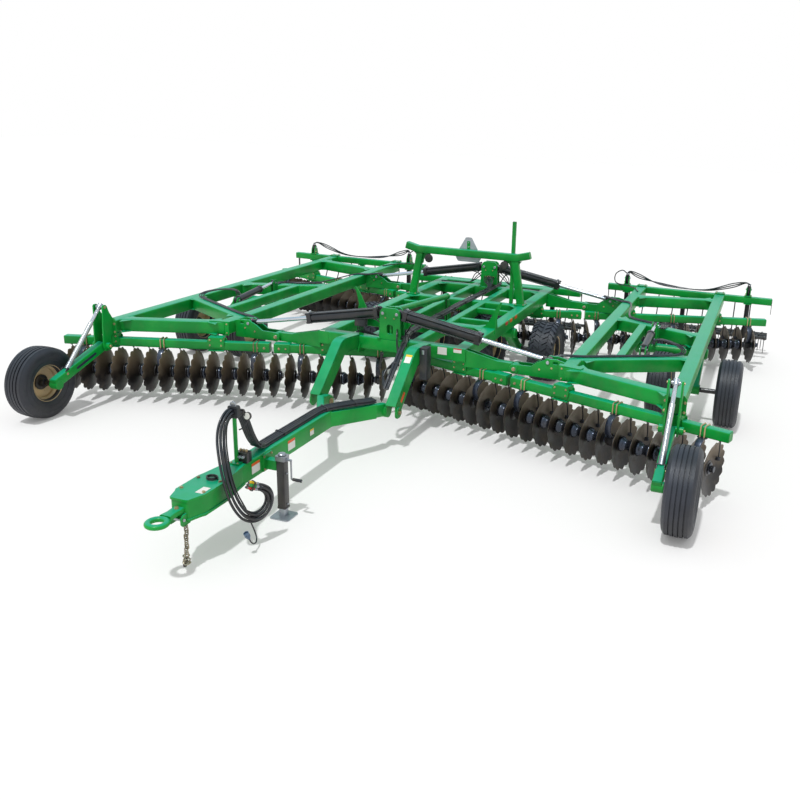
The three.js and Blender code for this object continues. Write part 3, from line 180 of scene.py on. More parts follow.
def surface(name, colour, roughness, metallic=0.0, coat=0.0, spread=0.14, dust=0.0, low_dust=0.0,
            painted_light=None, above=None, grain=90, bump=0.08, dust_colour=DUST, chips=0.0):
    """A worn surface: its colour drifts, dust lies on it, its gloss is uneven and its grain is slight.

    dust gathers in patches and low_dust near the ground; the painted light colour is a painted sky reflection
    on faces that look up, or, where above is given, a painted sunlit sheen on what lies above a height that
    runs between its two values."""
    made = bpy.data.materials.new(name)
    made.use_nodes = True
    tree = made.node_tree
    shader = tree.nodes["Principled BSDF"]
    place = node(tree, "TexCoord")
    spot = place.outputs["Object"]
    broad, fine, patch = noise(tree, spot, 2.2), noise(tree, spot, grain, 4), noise(tree, spot, 9, 6)
    dark = linear([c * (1 - spread) for c in colour])
    light = linear([min(255, c * (1 + spread * 0.7)) for c in colour])
    shade = blend_colours(tree, ramp(tree, broad, 0.3, 0.7), dark, light)
    # Painted light: faces that look up, or parts above the given height, take a painted sky reflection or
    # sunlit sheen, in patches.
    if painted_light:
        up = node(tree, "SeparateXYZ", Vector=spot if above else place.outputs["Normal"]).outputs["Z"]
        low, high = above or (0.55, 0.98)
        share = multiply(tree, ramp(tree, up, low, high), ramp(tree, patch, 0.1, 0.8, 0.65, 1.0))
        shade = blend_colours(tree, share, shade, linear(painted_light))
    if chips:
        share = ramp(tree, noise(tree, spot, 42, 7), 0.74 - chips, 0.78 - chips)
        shade = blend_colours(tree, share, shade, linear(CHIPPED))
    rough = ramp(tree, fine, 0.2, 0.8, max(0.04, roughness - 0.09), min(1, roughness + 0.12))
    if dust or low_dust:
        share = ramp(tree, patch, 0.42, 0.72, 0.0, dust)
        if low_dust:
            height = node(tree, "SeparateXYZ", Vector=spot).outputs["Z"]
            near = multiply(tree, ramp(tree, height, 0.75, 0.02), ramp(tree, patch, 0.2, 0.7, 0.25, 1.0))
            share = calculate(tree, "MAXIMUM", multiply(tree, near, low_dust), share)
        shade = blend_colours(tree, share, shade, linear(dust_colour))
        rough = calculate(tree, "MULTIPLY_ADD", share, 0.45, rough, clamp=True)
    relief = node(tree, "Bump", Height=fine, Strength=bump, Distance=0.004)
    for name, value in (("Base Color", shade), ("Roughness", rough), ("Metallic", metallic),
                        ("Coat Weight", coat), ("Coat Roughness", 0.12),
                        ("Normal", relief.outputs["Normal"])):
        feed(tree, shader.inputs[name], value)
    return made


# The teal tint on faces that look up is a painted sky reflection.
GREEN = surface("green_paint", (0, 150, 56), 0.36, coat=0.05, spread=0.12, dust=0.05, low_dust=0.08,
                painted_light=(0, 166, 124), grain=240, bump=0.05, chips=0.02)
GREEN.node_tree.nodes["Principled BSDF"].inputs["Specular IOR Level"].default_value = 0.3
BLACK = surface("black_paint", (20, 22, 28), 0.36, coat=0.25, spread=0.3, dust=0.05, low_dust=0.1, grain=160)
# Painted sunlit sheen: the discs' upper part is a lighter tan, and the lower part stays dark.
DISC = surface("disc_steel", (36, 33, 33), 0.36, metallic=0.4, spread=0.4, dust=0.4, painted_light=(124, 108, 87),
               above=(0.3, 0.56), grain=120, bump=0.2, dust_colour=(112, 101, 87))
SPOOL = surface("spool_steel", (62, 67, 78), 0.24, metallic=0.75, spread=0.3, dust=0.08, grain=60, bump=0.12)
CHROME = surface("chrome", (205, 208, 214), 0.12, metallic=1.0, spread=0.04, grain=30, bump=0.01)
ZINC = surface("zinc_plate", (168, 172, 178), 0.36, metallic=0.85, spread=0.15, dust=0.12, grain=130)
GOLD = surface("gold_zinc", (180, 160, 122), 0.38, metallic=0.75, spread=0.22, dust=0.1, grain=130)
RUBBER = surface("tyre_rubber", (36, 40, 50), 0.5, spread=0.22, dust=0.05, low_dust=0.16, grain=70,
                 bump=0.3, dust_colour=(110, 104, 96))
RIM = surface("tan_rim", (222, 194, 148), 0.42, spread=0.2, dust=0.1, low_dust=0.05, grain=110, chips=0.03)
HUB = surface("dark_hub", (26, 25, 26), 0.5, spread=0.3, dust=0.25, grain=110)
HOSE = surface("hose_rubber", (22, 25, 33), 0.36, coat=0.2, spread=0.25, dust=0.06, grain=300, bump=0.1)
PLASTIC = surface("black_plastic", (40, 42, 47), 0.5, spread=0.2, dust=0.12, grain=380, bump=0.25)
WHITE = surface("label_white", (232, 232, 226), 0.42, spread=0.05, dust=0.08)
ORANGE = surface("label_orange", (226, 96, 36), 0.4, spread=0.06)
YELLOW = surface("yellow_plastic", (240, 196, 32), 0.4, spread=0.08)
RED = surface("red_plastic", (206, 42, 30), 0.34, coat=0.4, spread=0.12)
BLUE = surface("blue_plastic", (88, 112, 140), 0.42, spread=0.12)
GREEN_PLASTIC = surface("green_plastic", (34, 150, 66), 0.4, spread=0.1)
PLATE_GREY = surface("plate_grey", (176, 180, 188), 0.4, metallic=0.5, spread=0.08, dust=0.1)
STRAP = surface("spring_steel", (44, 52, 68), 0.3, metallic=0.45, coat=0.3, spread=0.3, dust=0.15, grain=90)
STEEL = surface("bare_steel", (188, 190, 190), 0.3, metallic=0.7, spread=0.1, dust=0.1, grain=120)
STRIP = surface("strip_paint", (26, 34, 60), 0.4, spread=0.2, dust=0.1)
CHAIN = surface("chain_steel", (168, 158, 136), 0.34, metallic=0.8, spread=0.3, dust=0.1, grain=90)

# ---- Shapes ------------------------------------------------------------------------------------


class Shape:
    """Points and faces, with a material for each face, that become one mesh."""

    def __init__(self):
        self.points = []
        self.faces = []
        self.paints = []

    def add(self, points, faces, paint):
        start = len(self.points)
        self.points += [Vector(p) for p in points]
        self.faces += [[start + i for i in face] for face in faces]
        self.paints += [paint] * len(faces)

    def take(self, other, change=Vector):
        """Adds another shape, with each of its points put through change."""
        start = len(self.points)
        self.points += [change(p) for p in other.points]
        self.faces += [[start + i for i in face] for face in other.faces]
        self.paints += other.paints

    def on(self, side):
        """The shape itself on the left side, and its mirror image on the right one."""
        if side == "left":
            return self
        made = Shape()
        made.take(self, lambda p: Vector((-p.x, p.y, p.z)))
        return made

    def both_sides(self):
        made = Shape()
        made.take(self)
        made.take(self.on("right"))
        return made


def make_piece(name, shape, body, nodes=(), bevel=0.0, sharp=38):
    """One Blender object from a shape, riding on a body and standing for the given nodes."""
    mesh = bpy.data.meshes.new(name)
    mesh.from_pydata([to_frame(p) for p in shape.points], [], shape.faces)
    materials = list(dict.fromkeys(shape.paints))
    for one in materials:
        mesh.materials.append(one)
    mesh.polygons.foreach_set("material_index", [materials.index(p) for p in shape.paints])
    work = bmesh.new()
    work.from_mesh(mesh)
    bmesh.ops.recalc_face_normals(work, faces=work.faces)
    work.to_mesh(mesh)
    work.free()
    mesh.shade_smooth()
    mesh.set_sharp_from_angle(angle=math.radians(sharp))
    made = bpy.data.objects.new(name, mesh)
    bpy.context.scene.collection.objects.link(made)
    if bevel:
        rounding = made.modifiers.new("rounded_edges", "BEVEL")
        rounding.width = bevel / 1000
        rounding.segments = 2
        rounding.limit_method = "ANGLE"
        rounding.angle_limit = math.radians(50)
        rounding.harden_normals = True
        rounding.use_clamp_overlap = True
    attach(made, body)
    if nodes:
        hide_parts(*nodes)
    return made


def centre_piece(stem, shape, bevel=0.0, sharp=38, body="centre"):
    """A piece that stands for the one node whose name it carries."""
    return make_piece(stem + "_steel", shape, body, [stem], bevel, sharp)


def side_pieces(stem, ending, shape, bevel=0.0, sharp=38, body="wing", stands=True):
    """A piece on each side of the machine, which stands for that side's node unless told otherwise."""
    for side in SIDES:
        nodes = [f"{stem}_{side}"] if stands else ()
        make_piece(f"{stem}_{side}_{ending}", shape.on(side), f"{body}_{side}", nodes, bevel, sharp)


def skin(shape, rings, paint, closed=False):
    """Faces between rings of equally many points, capped at both ends unless the rings close."""
    count = len(rings[0])
    faces = []
    for i in range(len(rings) if closed else len(rings) - 1):
        here = i * count
        there = (i + 1) % len(rings) * count
        for j in range(count):
            k = (j + 1) % count
            faces.append([here + j, here + k, there + k, there + j])
    if not closed:
        last = (len(rings) - 1) * count
        faces += [list(range(count)), [last + j for j in range(count)]]
    shape.add([p for ring in rings for p in ring], faces, paint)


def axes(direction, up=UP):
    """A direction with the level one and the upright one square to it."""
    along = Vector(direction).normalized()
    if abs(along.dot(up)) > 0.99:
        up = ALONG_Y
    side = along.cross(up).normalized()
    return along, side, side.cross(along)


def circle(radius, sides):
    return arc(0, 0, radius, [2 * math.pi * i / sides for i in range(sides)])


def arc(x, y, radius, angles):
    """Points at the given angles round a middle."""
    return [(x + radius * math.cos(a), y + radius * math.sin(a)) for a in angles]


def degrees(*span):
    return [math.radians(d) for d in range(*span)]


def moved(outline, x, y, scale=1.0):
    return [(x + a * scale, y + b * scale) for a, b in outline]


def symmetric(half):
    """A closed outline from its right half, which runs from one end of the middle line to the other."""
    return half + [(-a, b) for a, b in half[::-1]]


def rounded(width, height, corner, steps=3):
    """The outline of a rectangle with round corners."""
    outline = []
    for quarter, (x, y) in enumerate(((1, 1), (-1, 1), (-1, -1), (1, -1))):
        angles = [math.pi / 2 * (quarter + i / steps) for i in range(steps + 1)]
        outline += arc(x * (width / 2 - corner), y * (height / 2 - corner), corner, angles)
    return outline


def placed(outline, origin, first, second):
    return [Vector(origin) + Vector(first) * a + Vector(second) * b for a, b in outline]


def tube_box(shape, start, end, width, height, paint=GREEN, corner=11, up=UP):
    """A box section tube between two points."""
    side, top = axes(Vector(end) - Vector(start), up)[1:]
    outline = rounded(width, height, corner)
    skin(shape, [placed(outline, p, side, top) for p in (start, end)], paint)


def tube_along(shape, middle, direction, near, far, width, height, paint=GREEN, corner=11, up=UP):
    """A box section tube between two places along a direction from a point."""
    middle, direction = Vector(middle), Vector(direction)
    tube_box(shape, middle + direction * near, middle + direction * far, width, height, paint, corner, up)


def block(shape, x, y, z, paint, corner=4):
    """A block with round upright edges between two places along each axis."""
    corner = min(corner, (x[1] - x[0]) / 2.1, (y[1] - y[0]) / 2.1)
    outline = moved(rounded(x[1] - x[0], y[1] - y[0], corner, 2), (x[0] + x[1]) / 2, (y[0] + y[1]) / 2)
    skin(shape, [[(a, b, height) for a, b in outline] for height in z], paint)


def around(middle, half):
    return (middle - half, middle + half)


def turn(shape, origin, direction, profile, paint, sides=24, closed=False):
    """A turned piece: profile holds (radius, place along direction)."""
    along, side, top = axes(direction)
    rings = [placed(circle(radius, sides), Vector(origin) + along * place, side, top)
             for radius, place in profile]
    skin(shape, rings, paint, closed)


def rod(shape, start, end, radius, paint, sides=16, chamfer=0):
    length = (Vector(end) - Vector(start)).length
    profile = [(radius, 0), (radius, length)]
    if chamfer:
        profile = [(radius - chamfer, 0), (radius, chamfer), (radius, length - chamfer),
                   (radius - chamfer, length)]
    turn(shape, start, Vector(end) - Vector(start), profile, paint, sides)


def pin(shape, middle, direction, near, far, radius, paint, sides=16, chamfer=0):
    """A rod between two places along a direction from a point."""
    middle, direction = Vector(middle), Vector(direction)
    rod(shape, middle + direction * near, middle + direction * far, radius, paint, sides, chamfer)


def smooth_path(points, steps=5):
    """A curve through the points, with steps stretches between each two."""
    points = [Vector(p) for p in points]
    ends = [points[0] * 2 - points[1]] + points + [points[-1] * 2 - points[-2]]
    curve = []
    for i in range(1, len(ends) - 2):
        a, b, c, d = ends[i - 1:i + 3]
        for k in range(steps):
            t = k / steps
            curve.append(0.5 * (2 * b + (c - a) * t + (2 * a - 5 * b + 4 * c - d) * t * t
                                + (3 * b - a - 3 * c + d) * t ** 3))
    return curve + [points[-1]]


def path_frames(path):
    """Each point of a path with two directions square to it, turning as little as possible."""
    path = [Vector(p) for p in path]
    side = None
    frames = []
    for i, here in enumerate(path):
        ahead = path[min(i + 1, len(path) - 1)] - path[max(i - 1, 0)]
        along = ahead.normalized()
        side = axes(along)[1] if side is None else (side - along * side.dot(along)).normalized()
        frames.append((here, side, side.cross(along)))
    return frames


def sweep(shape, path, outline, paint):
    skin(shape, [placed(outline, here, side, top) for here, side, top in path_frames(path)], paint)


def pipe(shape, path, radius, paint=HOSE, sides=8, steps=4):
    """A round bar or hose along a smooth curve through the points."""
    sweep(shape, smooth_path(path, steps) if steps > 1 else path, circle(radius, sides), paint)


def plate(shape, outline, origin, first, second, thickness, paint, holes=()):
    """A flat plate: its outline lies along first and second, and it is thick square to them."""
    first, second = Vector(first), Vector(second)
    out = first.cross(second).normalized() * thickness / 2
    levels = [Vector(origin) - out, Vector(origin) + out]
    if not holes:
        skin(shape, [placed(outline, level, first, second) for level in levels], paint)
        return
    loops = [outline, *holes]
    triangles = tessellate_polygon([[Vector((a, b, 0)) for a, b in loop] for loop in loops])
    flat = [p for loop in loops for p in loop]
    points = [p for level in levels for p in placed(flat, level, first, second)]
    count = len(flat)
    faces = [list(t) for t in triangles] + [[i + count for i in t] for t in triangles]
    start = 0
    for loop in loops:
        for j in range(len(loop)):
            k = (j + 1) % len(loop)
            faces.append([start + j, start + k, start + k + count, start + j + count])
        start += len(loop)
    shape.add(points, faces, paint)


def slot_outline(x, y, length, radius, sides=8):
    """A slot with round ends, lying along the first direction."""
    outline = []
    for way in (1, -1):
        angles = [-way * math.pi / 2 + math.pi * i / sides for i in range(sides + 1)]
        outline += arc(x + way * (length / 2 - radius), y, radius, angles)
    return outline


def plate_across(shape, outline, y, paint=GREEN, holes=()):
    """A plate square to Y with an outline of (x, z), between two places along Y."""
    plate(shape, outline, (0, sum(y) / 2, 0), ALONG_X, UP, abs(y[1] - y[0]), paint, holes)


def plate_along(shape, outline, x, paint=GREEN):
    """A plate square to X with an outline of (y, z), between two places along X."""
    plate(shape, outline, (sum(x) / 2, 0, 0), ALONG_Y, UP, abs(x[1] - x[0]), paint)


def plate_flat(shape, outline, z, paint=GREEN):
    """A level plate with an outline of (x, y), between two heights."""
    plate(shape, outline, (0, 0, sum(z) / 2), ALONG_X, ALONG_Y, z[1] - z[0], paint)


def bolt(shape, at, direction, size, paint=GOLD):
    """A bolt head on its washer."""
    along = Vector(direction).normalized()
    pin(shape, at, along, -1, size * 0.2, size * 1.05, paint, 14)
    pin(shape, at, along, size * 0.2, size * 0.85, size * 0.85, paint, 6, size * 0.08)


def bolts(shape, x, y, z, direction, size, paint=GOLD):
    """A bolt at every crossing of the places given along the three axes."""
    for at in product(x, y, z):
        bolt(shape, at, direction, size, paint)


def label(shape, middle, first, second, width, height, header=None):
    """A blank sticker, with a coloured band along its top if header is given."""
    first, second = Vector(first).normalized(), Vector(second).normalized()
    share = 0.26 if header else 0
    body = rounded(width, height * (1 - share), 3, 2)
    plate(shape, body, Vector(middle) - second * height * share / 2, first, second, 2.4, WHITE)
    if header:
        top = Vector(middle) + second * height * (1 - share) / 2
        plate(shape, rounded(width, height * share, 3, 2), top, first, second, 2.6, header)


# ---- Gangs: discs, spools, beams and their hangers ----------------------------------------------

DISH_R, HUB_SHIFT, DISC_HALF, RIM_HALF = 640, 24, 3.5, 1.2
DISC_RINGS = (34, 130, 215, 243)
NOTCHES = 16
NOTCH = [0, 4, 10, 20, 10, 4]  # how far the rim is cut back, round one tooth
FLANGE = [(36, 3), (74, 3), (78, 7), (78, 13), (60, 20), (36, 24)]
PLAIN_SPOOL = [(40, 22), (33, 30), (33, 156), (40, 164)]
SPOOL_PROFILE = [(41, 22), (76, 23), (79, 28), (78, 40), (64, 58), (52, 78), (48, 93), (52, 108), (64, 128),
                 (78, 146), (79, 158), (76, 163), (41, 164)]
BEARING = [(36, 0), (46, 2), (48, 18), (57, 26), (57, 78), (48, 86), (46, 102), (36, 104)]


def along_beam(row):
    return Vector((COS_GANG, row[0] * SIN_GANG, 0))


def ahead_of_beam(row):
    return Vector((row[0] * SIN_GANG, -COS_GANG, 0))


def beam_point(row, x, along=0, ahead=0, z=0):
    """A place beside the beam's middle line where it crosses x."""
    flat = Vector((x, row[1] + row[0] * SLOPE * (x - HINGE_X), z))
    return flat + along_beam(row) * along + ahead_of_beam(row) * ahead


def disc(shape, middle, along, concave):
    """A dished disc with a scalloped rim; concave is the side that it is hollow on."""
    direction, side, top = axes(along)
    count = NOTCHES * len(NOTCH)

    def ring(radius, lift, notched=False):
        points = []
        for i in range(count):
            angle = 2 * math.pi * i / count
            r = radius - NOTCH[i % len(NOTCH)] if notched else radius
            sag = DISH_R - math.sqrt(DISH_R ** 2 - r * r) - HUB_SHIFT
            points.append(middle + direction * (concave * sag + lift)
                          + side * r * math.cos(angle) + top * r * math.sin(angle))
        return points

    rings = [ring(r, DISC_HALF) for r in DISC_RINGS] + [ring(DISC_R, RIM_HALF, True)]
    rings += [ring(DISC_R, -RIM_HALF, True)] + [ring(r, -DISC_HALF) for r in DISC_RINGS[::-1]]
    skin(shape, rings, DISC, closed=True)


def gang(row, first_x, count, hangers):
    """The discs of one gang with their flanges, spools and end nuts."""
    shape = Shape()
    along = along_beam(row)
    start = beam_point(row, first_x, z=AXLE_Z) - ALONG_Y * (AXLE_AHEAD / COS_GANG)
    concave = -row[0]
    hub = -concave * HUB_SHIFT
    for i in range(count):
        middle = start + along * i * DISC_SPACING
        disc(shape, middle, along, concave)
        for side in BOTH:
            turn(shape, middle + along * hub, along * side, FLANGE, BLACK, 20)
        if i < count - 1:
            turn(shape, middle + along * hub, along, PLAIN_SPOOL if i in hangers else SPOOL_PROFILE, SPOOL,
                 18)
    for at, way in ((start, -1), (start + along * (count - 1) * DISC_SPACING, 1)):
        end = at + along * hub
        cap = [(58, 18), (58, 30), (36, 34), (30, 36), (30, 56 + 12 * way)]
        turn(shape, end, along * way, cap, SPOOL, 18)
        pin(shape, end, along * way, 32, 52, 34, BLACK, 6, 3)
    return shape


def hanger(shape, row, x):
    """A C-shaped spring strap with its bearing below the beam, and the bolts that hold it."""

    def at(ahead, z, along=0):
        return beam_point(row, x, along, ahead, z)

    strap_z = BEAM_BOTTOM - 13
    bow = arc(AXLE_AHEAD / 2 + 14, strap_z - SPRING_R, SPRING_R,
              [math.radians(90 - 10.4 * i) for i in range(17)])
    path = [at(a, z) for a, z in [(-60, strap_z), (-20, strap_z)] + bow]
    sweep(shape, path, rounded(HANGER_WIDTH + 8, 20, 4, 2), STRAP)
    along = along_beam(row)
    turn(shape, at(AXLE_AHEAD, AXLE_Z) - along * 52, along, BEARING, BLACK, 20)
    tube_box(shape, at(AXLE_AHEAD - 18, AXLE_Z + 46), at(AXLE_AHEAD - 22, AXLE_Z + 66), 70, 62, BLACK, 8)
    for side in BOTH:
        bolt(shape, at(AXLE_AHEAD - 46, AXLE_Z + 52, side * 20), -ahead_of_beam(row), 11)
    tube_box(shape, at(-64, BEAM_BOTTOM - 5), at(64, BEAM_BOTTOM - 5), 96, 12, BLACK, 3)
    for side in BOTH:
        u_bolt(shape, row, x, side * 21)


def u_bolt(shape, row, x, along):
    """A square U-bolt over the beam, with its threaded ends and nuts below."""
    half, top = SLIM_TUBE / 2 + 8, BEAM_TOP + 8
    path = symmetric([(half, BEAM_BOTTOM - 34), (half, top - 14), (half - 5, top - 4), (half - 15, top)])
    pipe(shape, [beam_point(row, x, along, a, z) for a, z in path], 7.5, GOLD, 8, 1)
    for side in BOTH:
        pin(shape, beam_point(row, x, along, side * half, BEAM_BOTTOM - 26), UP, 0, 13, 13, GOLD, 6, 1.5)


def scraper(shape, row, x, disc_x, concave):
    """A thin stem from the beam to a blade that lies close to a disc's hollow face."""
    offset = (disc_x - x) / COS_GANG

    def at(along, ahead, down):
        return beam_point(row, x, offset + concave * along, ahead, BEAM_BOTTOM - down)

    stem = [(78, 30, -4), (78, 26, 22), (70, 4, 60), (62, -22, 110), (52, -46, 165), (44, -60, 205)]
    sweep(shape, smooth_path([at(*p) for p in stem], 3), rounded(13, 8, 2.5, 1), BLACK)
    tube_box(shape, at(50, -40, 190), at(36, -74, 240), 44, 6, SPOOL, 2)
    pin(shape, at(78, 34, 6), UP, 0, 12, 13, BLACK, 6)


def rail_clamp(shape, row, x, half=88):
    """The bracket that hangs the beam below a frame rail: two cheeks, a seat and their bolts."""
    along, ahead = along_beam(row), ahead_of_beam(row)
    seat = beam_point(row, x, z=(BEAM_TOP + FRAME_BOTTOM) / 2)
    tube_along(shape, seat, along, -half, half, 118, FRAME_BOTTOM - BEAM_TOP - 1, GREEN, 6)
    cheek = symmetric([(half, BEAM_TOP - 66), (half + 14, BEAM_TOP - 30), (half + 14, BEAM_TOP + 16),
                       (half - 24, FRAME_BOTTOM - 1)])
    for side in BOTH:
        plate(shape, cheek, beam_point(row, x, 0, side * 58), along, UP, 13, GREEN)
        for a, z in product((-half + 20, half - 20), (BEAM_TOP - 40, BEAM_TOP + 24)):
            bolt(shape, beam_point(row, x, a, side * 64, z), ahead * side, 11)
    foot = beam_point(row, x, z=BEAM_BOTTOM - 7)
    tube_along(shape, foot, along, -half - 6, half + 6, 132, 12, GREEN, 3)


def gang_beam(row, start, end, first_x, count, hangers, mounts):
    """A beam with its straps, scrapers and clamps, for one side of the machine."""
    shape = Shape()
    step = DISC_SPACING * COS_GANG
    last = beam_point(row, end, z=BEAM_MIDDLE)
    tube_box(shape, beam_point(row, start, z=BEAM_MIDDLE), last, SLIM_TUBE, SLIM_TUBE, GREEN, 10)
    tube_along(shape, last, along_beam(row), -1, 4, SLIM_TUBE - 12, SLIM_TUBE - 12, GREEN, 8)
    for index in hangers:
        hanger(shape, row, first_x + (index + 0.5) * step)
    concave = -row[0]
    for i in range(count):
        beside = i if concave > 0 else i - 1
        if beside not in hangers:
            disc_x = first_x + i * step
            scraper(shape, row, min(max(disc_x, start + 40), end - 30), disc_x, concave)
    for x in mounts:
        rail_clamp(shape, row, x)
    return shape


def beam_coupling(shape, row, x, way):
    """The collar and its bolts at the end of a beam near the hinge line."""
    along, ahead = along_beam(row) * way, ahead_of_beam(row)
    near = beam_point(row, x, z=BEAM_MIDDLE)
    tube_along(shape, near, along, 0, 190, SLIM_TUBE + 18, SLIM_TUBE + 18, GREEN, 12)
    for side, (place, size) in product(BOTH, ((60, 15), (140, 11))):
        bolt(shape, near + along * place + ahead * side * 59, ahead * side, size)


def build_gangs():
    rows = (("front", FRONT, FRONT_DISCS, FRONT_HANGERS, FRONT_BEAM_END),
            ("rear", REAR, REAR_DISCS, REAR_HANGERS, REAR_BEAM_END))
    inner_gang = (CENTRE_FIRST_X, CENTRE_DISCS, CENTRE_HANGERS)
    for name, row, count, hangers, end in rows:
        outer_gang = (FIRST_DISC_X, count, hangers)
        wing = gang_beam(row, WING_BEAM_START, end, *outer_gang, [WING_INNER_X, WING_OUTER_X])
        beam_coupling(wing, row, WING_BEAM_START + 2, 1)
        centre = gang_beam(row, 0, CENTRE_BEAM_END, *inner_gang, [CENTRE_RAIL_X])
        beam_coupling(centre, row, CENTRE_BEAM_END - 2, -1)
        centre_piece(f"{name}_gang_beam_centre", centre.both_sides(), 1.6)
        discs, centre_discs = gang(row, *outer_gang), gang(row, *inner_gang)
        for side in SIDES:
            beam = f"{name}_gang_beam_{side}"
            make_piece(f"{beam}_steel", wing.on(side), f"wing_{side}", [beam], 1.6)
            for stem, shape in ((f"{name}_gang_{side}", discs), (f"{name}_centre_gang_{side}", centre_discs)):
                make_piece(f"{stem}_discs", shape.on(side), stem, [stem])


# ---- Frames ------------------------------------------------------------------------------------


def rail(shape, x, y, size=TUBE, z=TUBE_Z, height=TUBE):
    """A lengthways box tube with a closing plate in each end."""
    tube_box(shape, (x, y[0], z), (x, y[1], z), size, height, GREEN, 14)
    for end, way in ((y[0], -1), (y[1], 1)):
        tube_along(shape, (x, end, z), ALONG_Y * way, 0, 3, size - 20, height - 20, GREEN, 8)


def gusset(shape, x, y, way, z):
    """A triangular plate in a corner between two level tubes."""
    corner = [(0, 0), (-1, 0), (-0.9, 0.12 * way), (-0.12, 0.9 * way), (0, way)]
    plate_flat(shape, moved(corner, x, y, 110), (z, z + 8))


def hitch_leg(shape):
    """The cranked box leg that reaches down from the frame's front to the tongue's pin."""
    y, z, half = TONGUE_PIN_Y, TONGUE_PIN_Z, LEG_WIDTH / 2
    front = moved([(20, 0), (-250, 26), (-330, 30), (-385, 22), (-430, 2)], 0, FRAME_TOP) + [(y - 62, z + 74)]
    rear = moved([(-345, 16), (-290, 36), (20, 5)], 0, FRAME_BOTTOM)
    outline = front + arc(y, z, 70, degrees(200, 361, 20)) + rear
    for side in BOTH:
        plate_along(shape, outline, (LEG_X + side * half, LEG_X + side * (half - 12)))
    for line in (front, rear):
        rings = []
        for i, (a, b) in enumerate(line):
            ahead = Vector(line[min(i + 1, len(line) - 1)]) - Vector(line[max(i - 1, 0)])
            out = Vector((ahead.y, -ahead.x)).normalized()
            near, far = Vector((a, b)) + out * 2.45, Vector((a, b)) + out * 14.7
            left, right = LEG_X - half + 2, LEG_X + half - 2
            rings.append([(left, *near), (right, *near), (right, *far), (left, *far)])
        skin(shape, rings, GREEN)
    for side in BOTH:
        at, out = Vector((LEG_X + side * half, y, z)), ALONG_X * side
        pin(shape, at, out, -1, 12, 62, GREEN, 28, 2)
        bolt(shape, at + out * 12, out, 24)
        bolt(shape, at + out * 12 + UP * 42, out, 8)


def fin(shape):
    """The tall curved plate on the rail that the folded wing leans on."""
    y, foot, top = CENTRE_CROSS_TUBES[1], CENTRE_RAIL_X + TUBE / 2, FRAME_TOP + FIN_HEIGHT
    curve = [(foot - FIN_WIDTH + 150 * t, FRAME_TOP - 4 + 150 * t ** 2.2) for t in (1, 0.75, 0.5, 0.25, 0)]
    outline = moved([(0, -4), (8, 120), (34, 230)], foot, FRAME_TOP)
    outline += moved([(64, -6), (52, 0), (18, -42), (-22, -110)], foot, top) + curve
    plate_across(shape, outline, around(y, 11))
    stay = moved([(-60, -60), (60, -60), (40, 30), (0, 170), (-40, 30)], y, FRAME_TOP)
    plate_along(shape, stay, (foot - 4, foot + 6))


def outrigger(shape, y):
    """The arm out to a wing hinge, with its eye and pin."""
    half = ARM_GAP / 2 - 6
    start = CENTRE_RAIL_X + TUBE / 2 - 20
    tube_box(shape, (start, y, HINGE_Z), (HINGE_X - 40, y, HINGE_Z), half * 2 - 6, 98, GREEN, 8)
    eye = moved([(-130, -52), (0, -50), (40, -34), (52, 0), (40, 34), (0, 50), (-200, 54)], HINGE_X, HINGE_Z)
    outline = [(start, HINGE_Z - 62)] + eye + [(start, FRAME_TOP - 4)]
    for side in BOTH:
        plate_across(shape, outline, (y + side * half, y + side * (half - 14)))
    boss = [(52, 0), (54, 3), (54, half * 2 - 7), (52, half * 2 - 4)]
    turn(shape, (HINGE_X, y - half + 2, HINGE_Z), ALONG_Y, boss, GREEN)
    reach = ARM_GAP / 2 + ARM_PLATE + 10
    pin(shape, (HINGE_X, y, HINGE_Z), ALONG_Y, -reach, reach, HINGE_PIN_R, ZINC, 20, 2)


def centre_frame():
    half = Shape()
    rail(half, CENTRE_RAIL_X, (0, CENTRE_LENGTH))
    rail(half, CENTRE_INNER_X, (24, CENTRE_LENGTH - 24), SLIM_TUBE, FRAME_TOP - 66, 130)
    for y in CENTRE_CROSS_TUBES:
        outer = CENTRE_RAIL_X + TUBE / 2 - (1 if y == CENTRE_CROSS_TUBES[0] else 14)
        tube_box(half, (0, y, TUBE_Z), (outer, y, TUBE_Z), TUBE - 1, TUBE - 1, GREEN, 14)
    hitch_leg(half)
    fin(half)
    for y in (HINGE_FRONT_Y, HINGE_REAR_Y):
        outrigger(half, y)
    inner = CENTRE_RAIL_X - TUBE / 2
    for y, way in product(CENTRE_CROSS_TUBES[1:4], BOTH):
        gusset(half, inner, y + way * TUBE / 2, way, FRAME_TOP - 12)
    for y in (1480, 2140):
        start, end = (CENTRE_INNER_X + 40, y, FRAME_TOP - 50), (inner + 8, y, FRAME_TOP - 50)
        tube_box(half, start, end, 70, 70, GREEN, 8)
    web = moved([(-60, -30), (90, -60), (150, 20), (-10, 60)], 0, FRAME_BOTTOM)
    plate_along(half, web, (LEG_X - 76, LEG_X - 64))
    return half.both_sides()


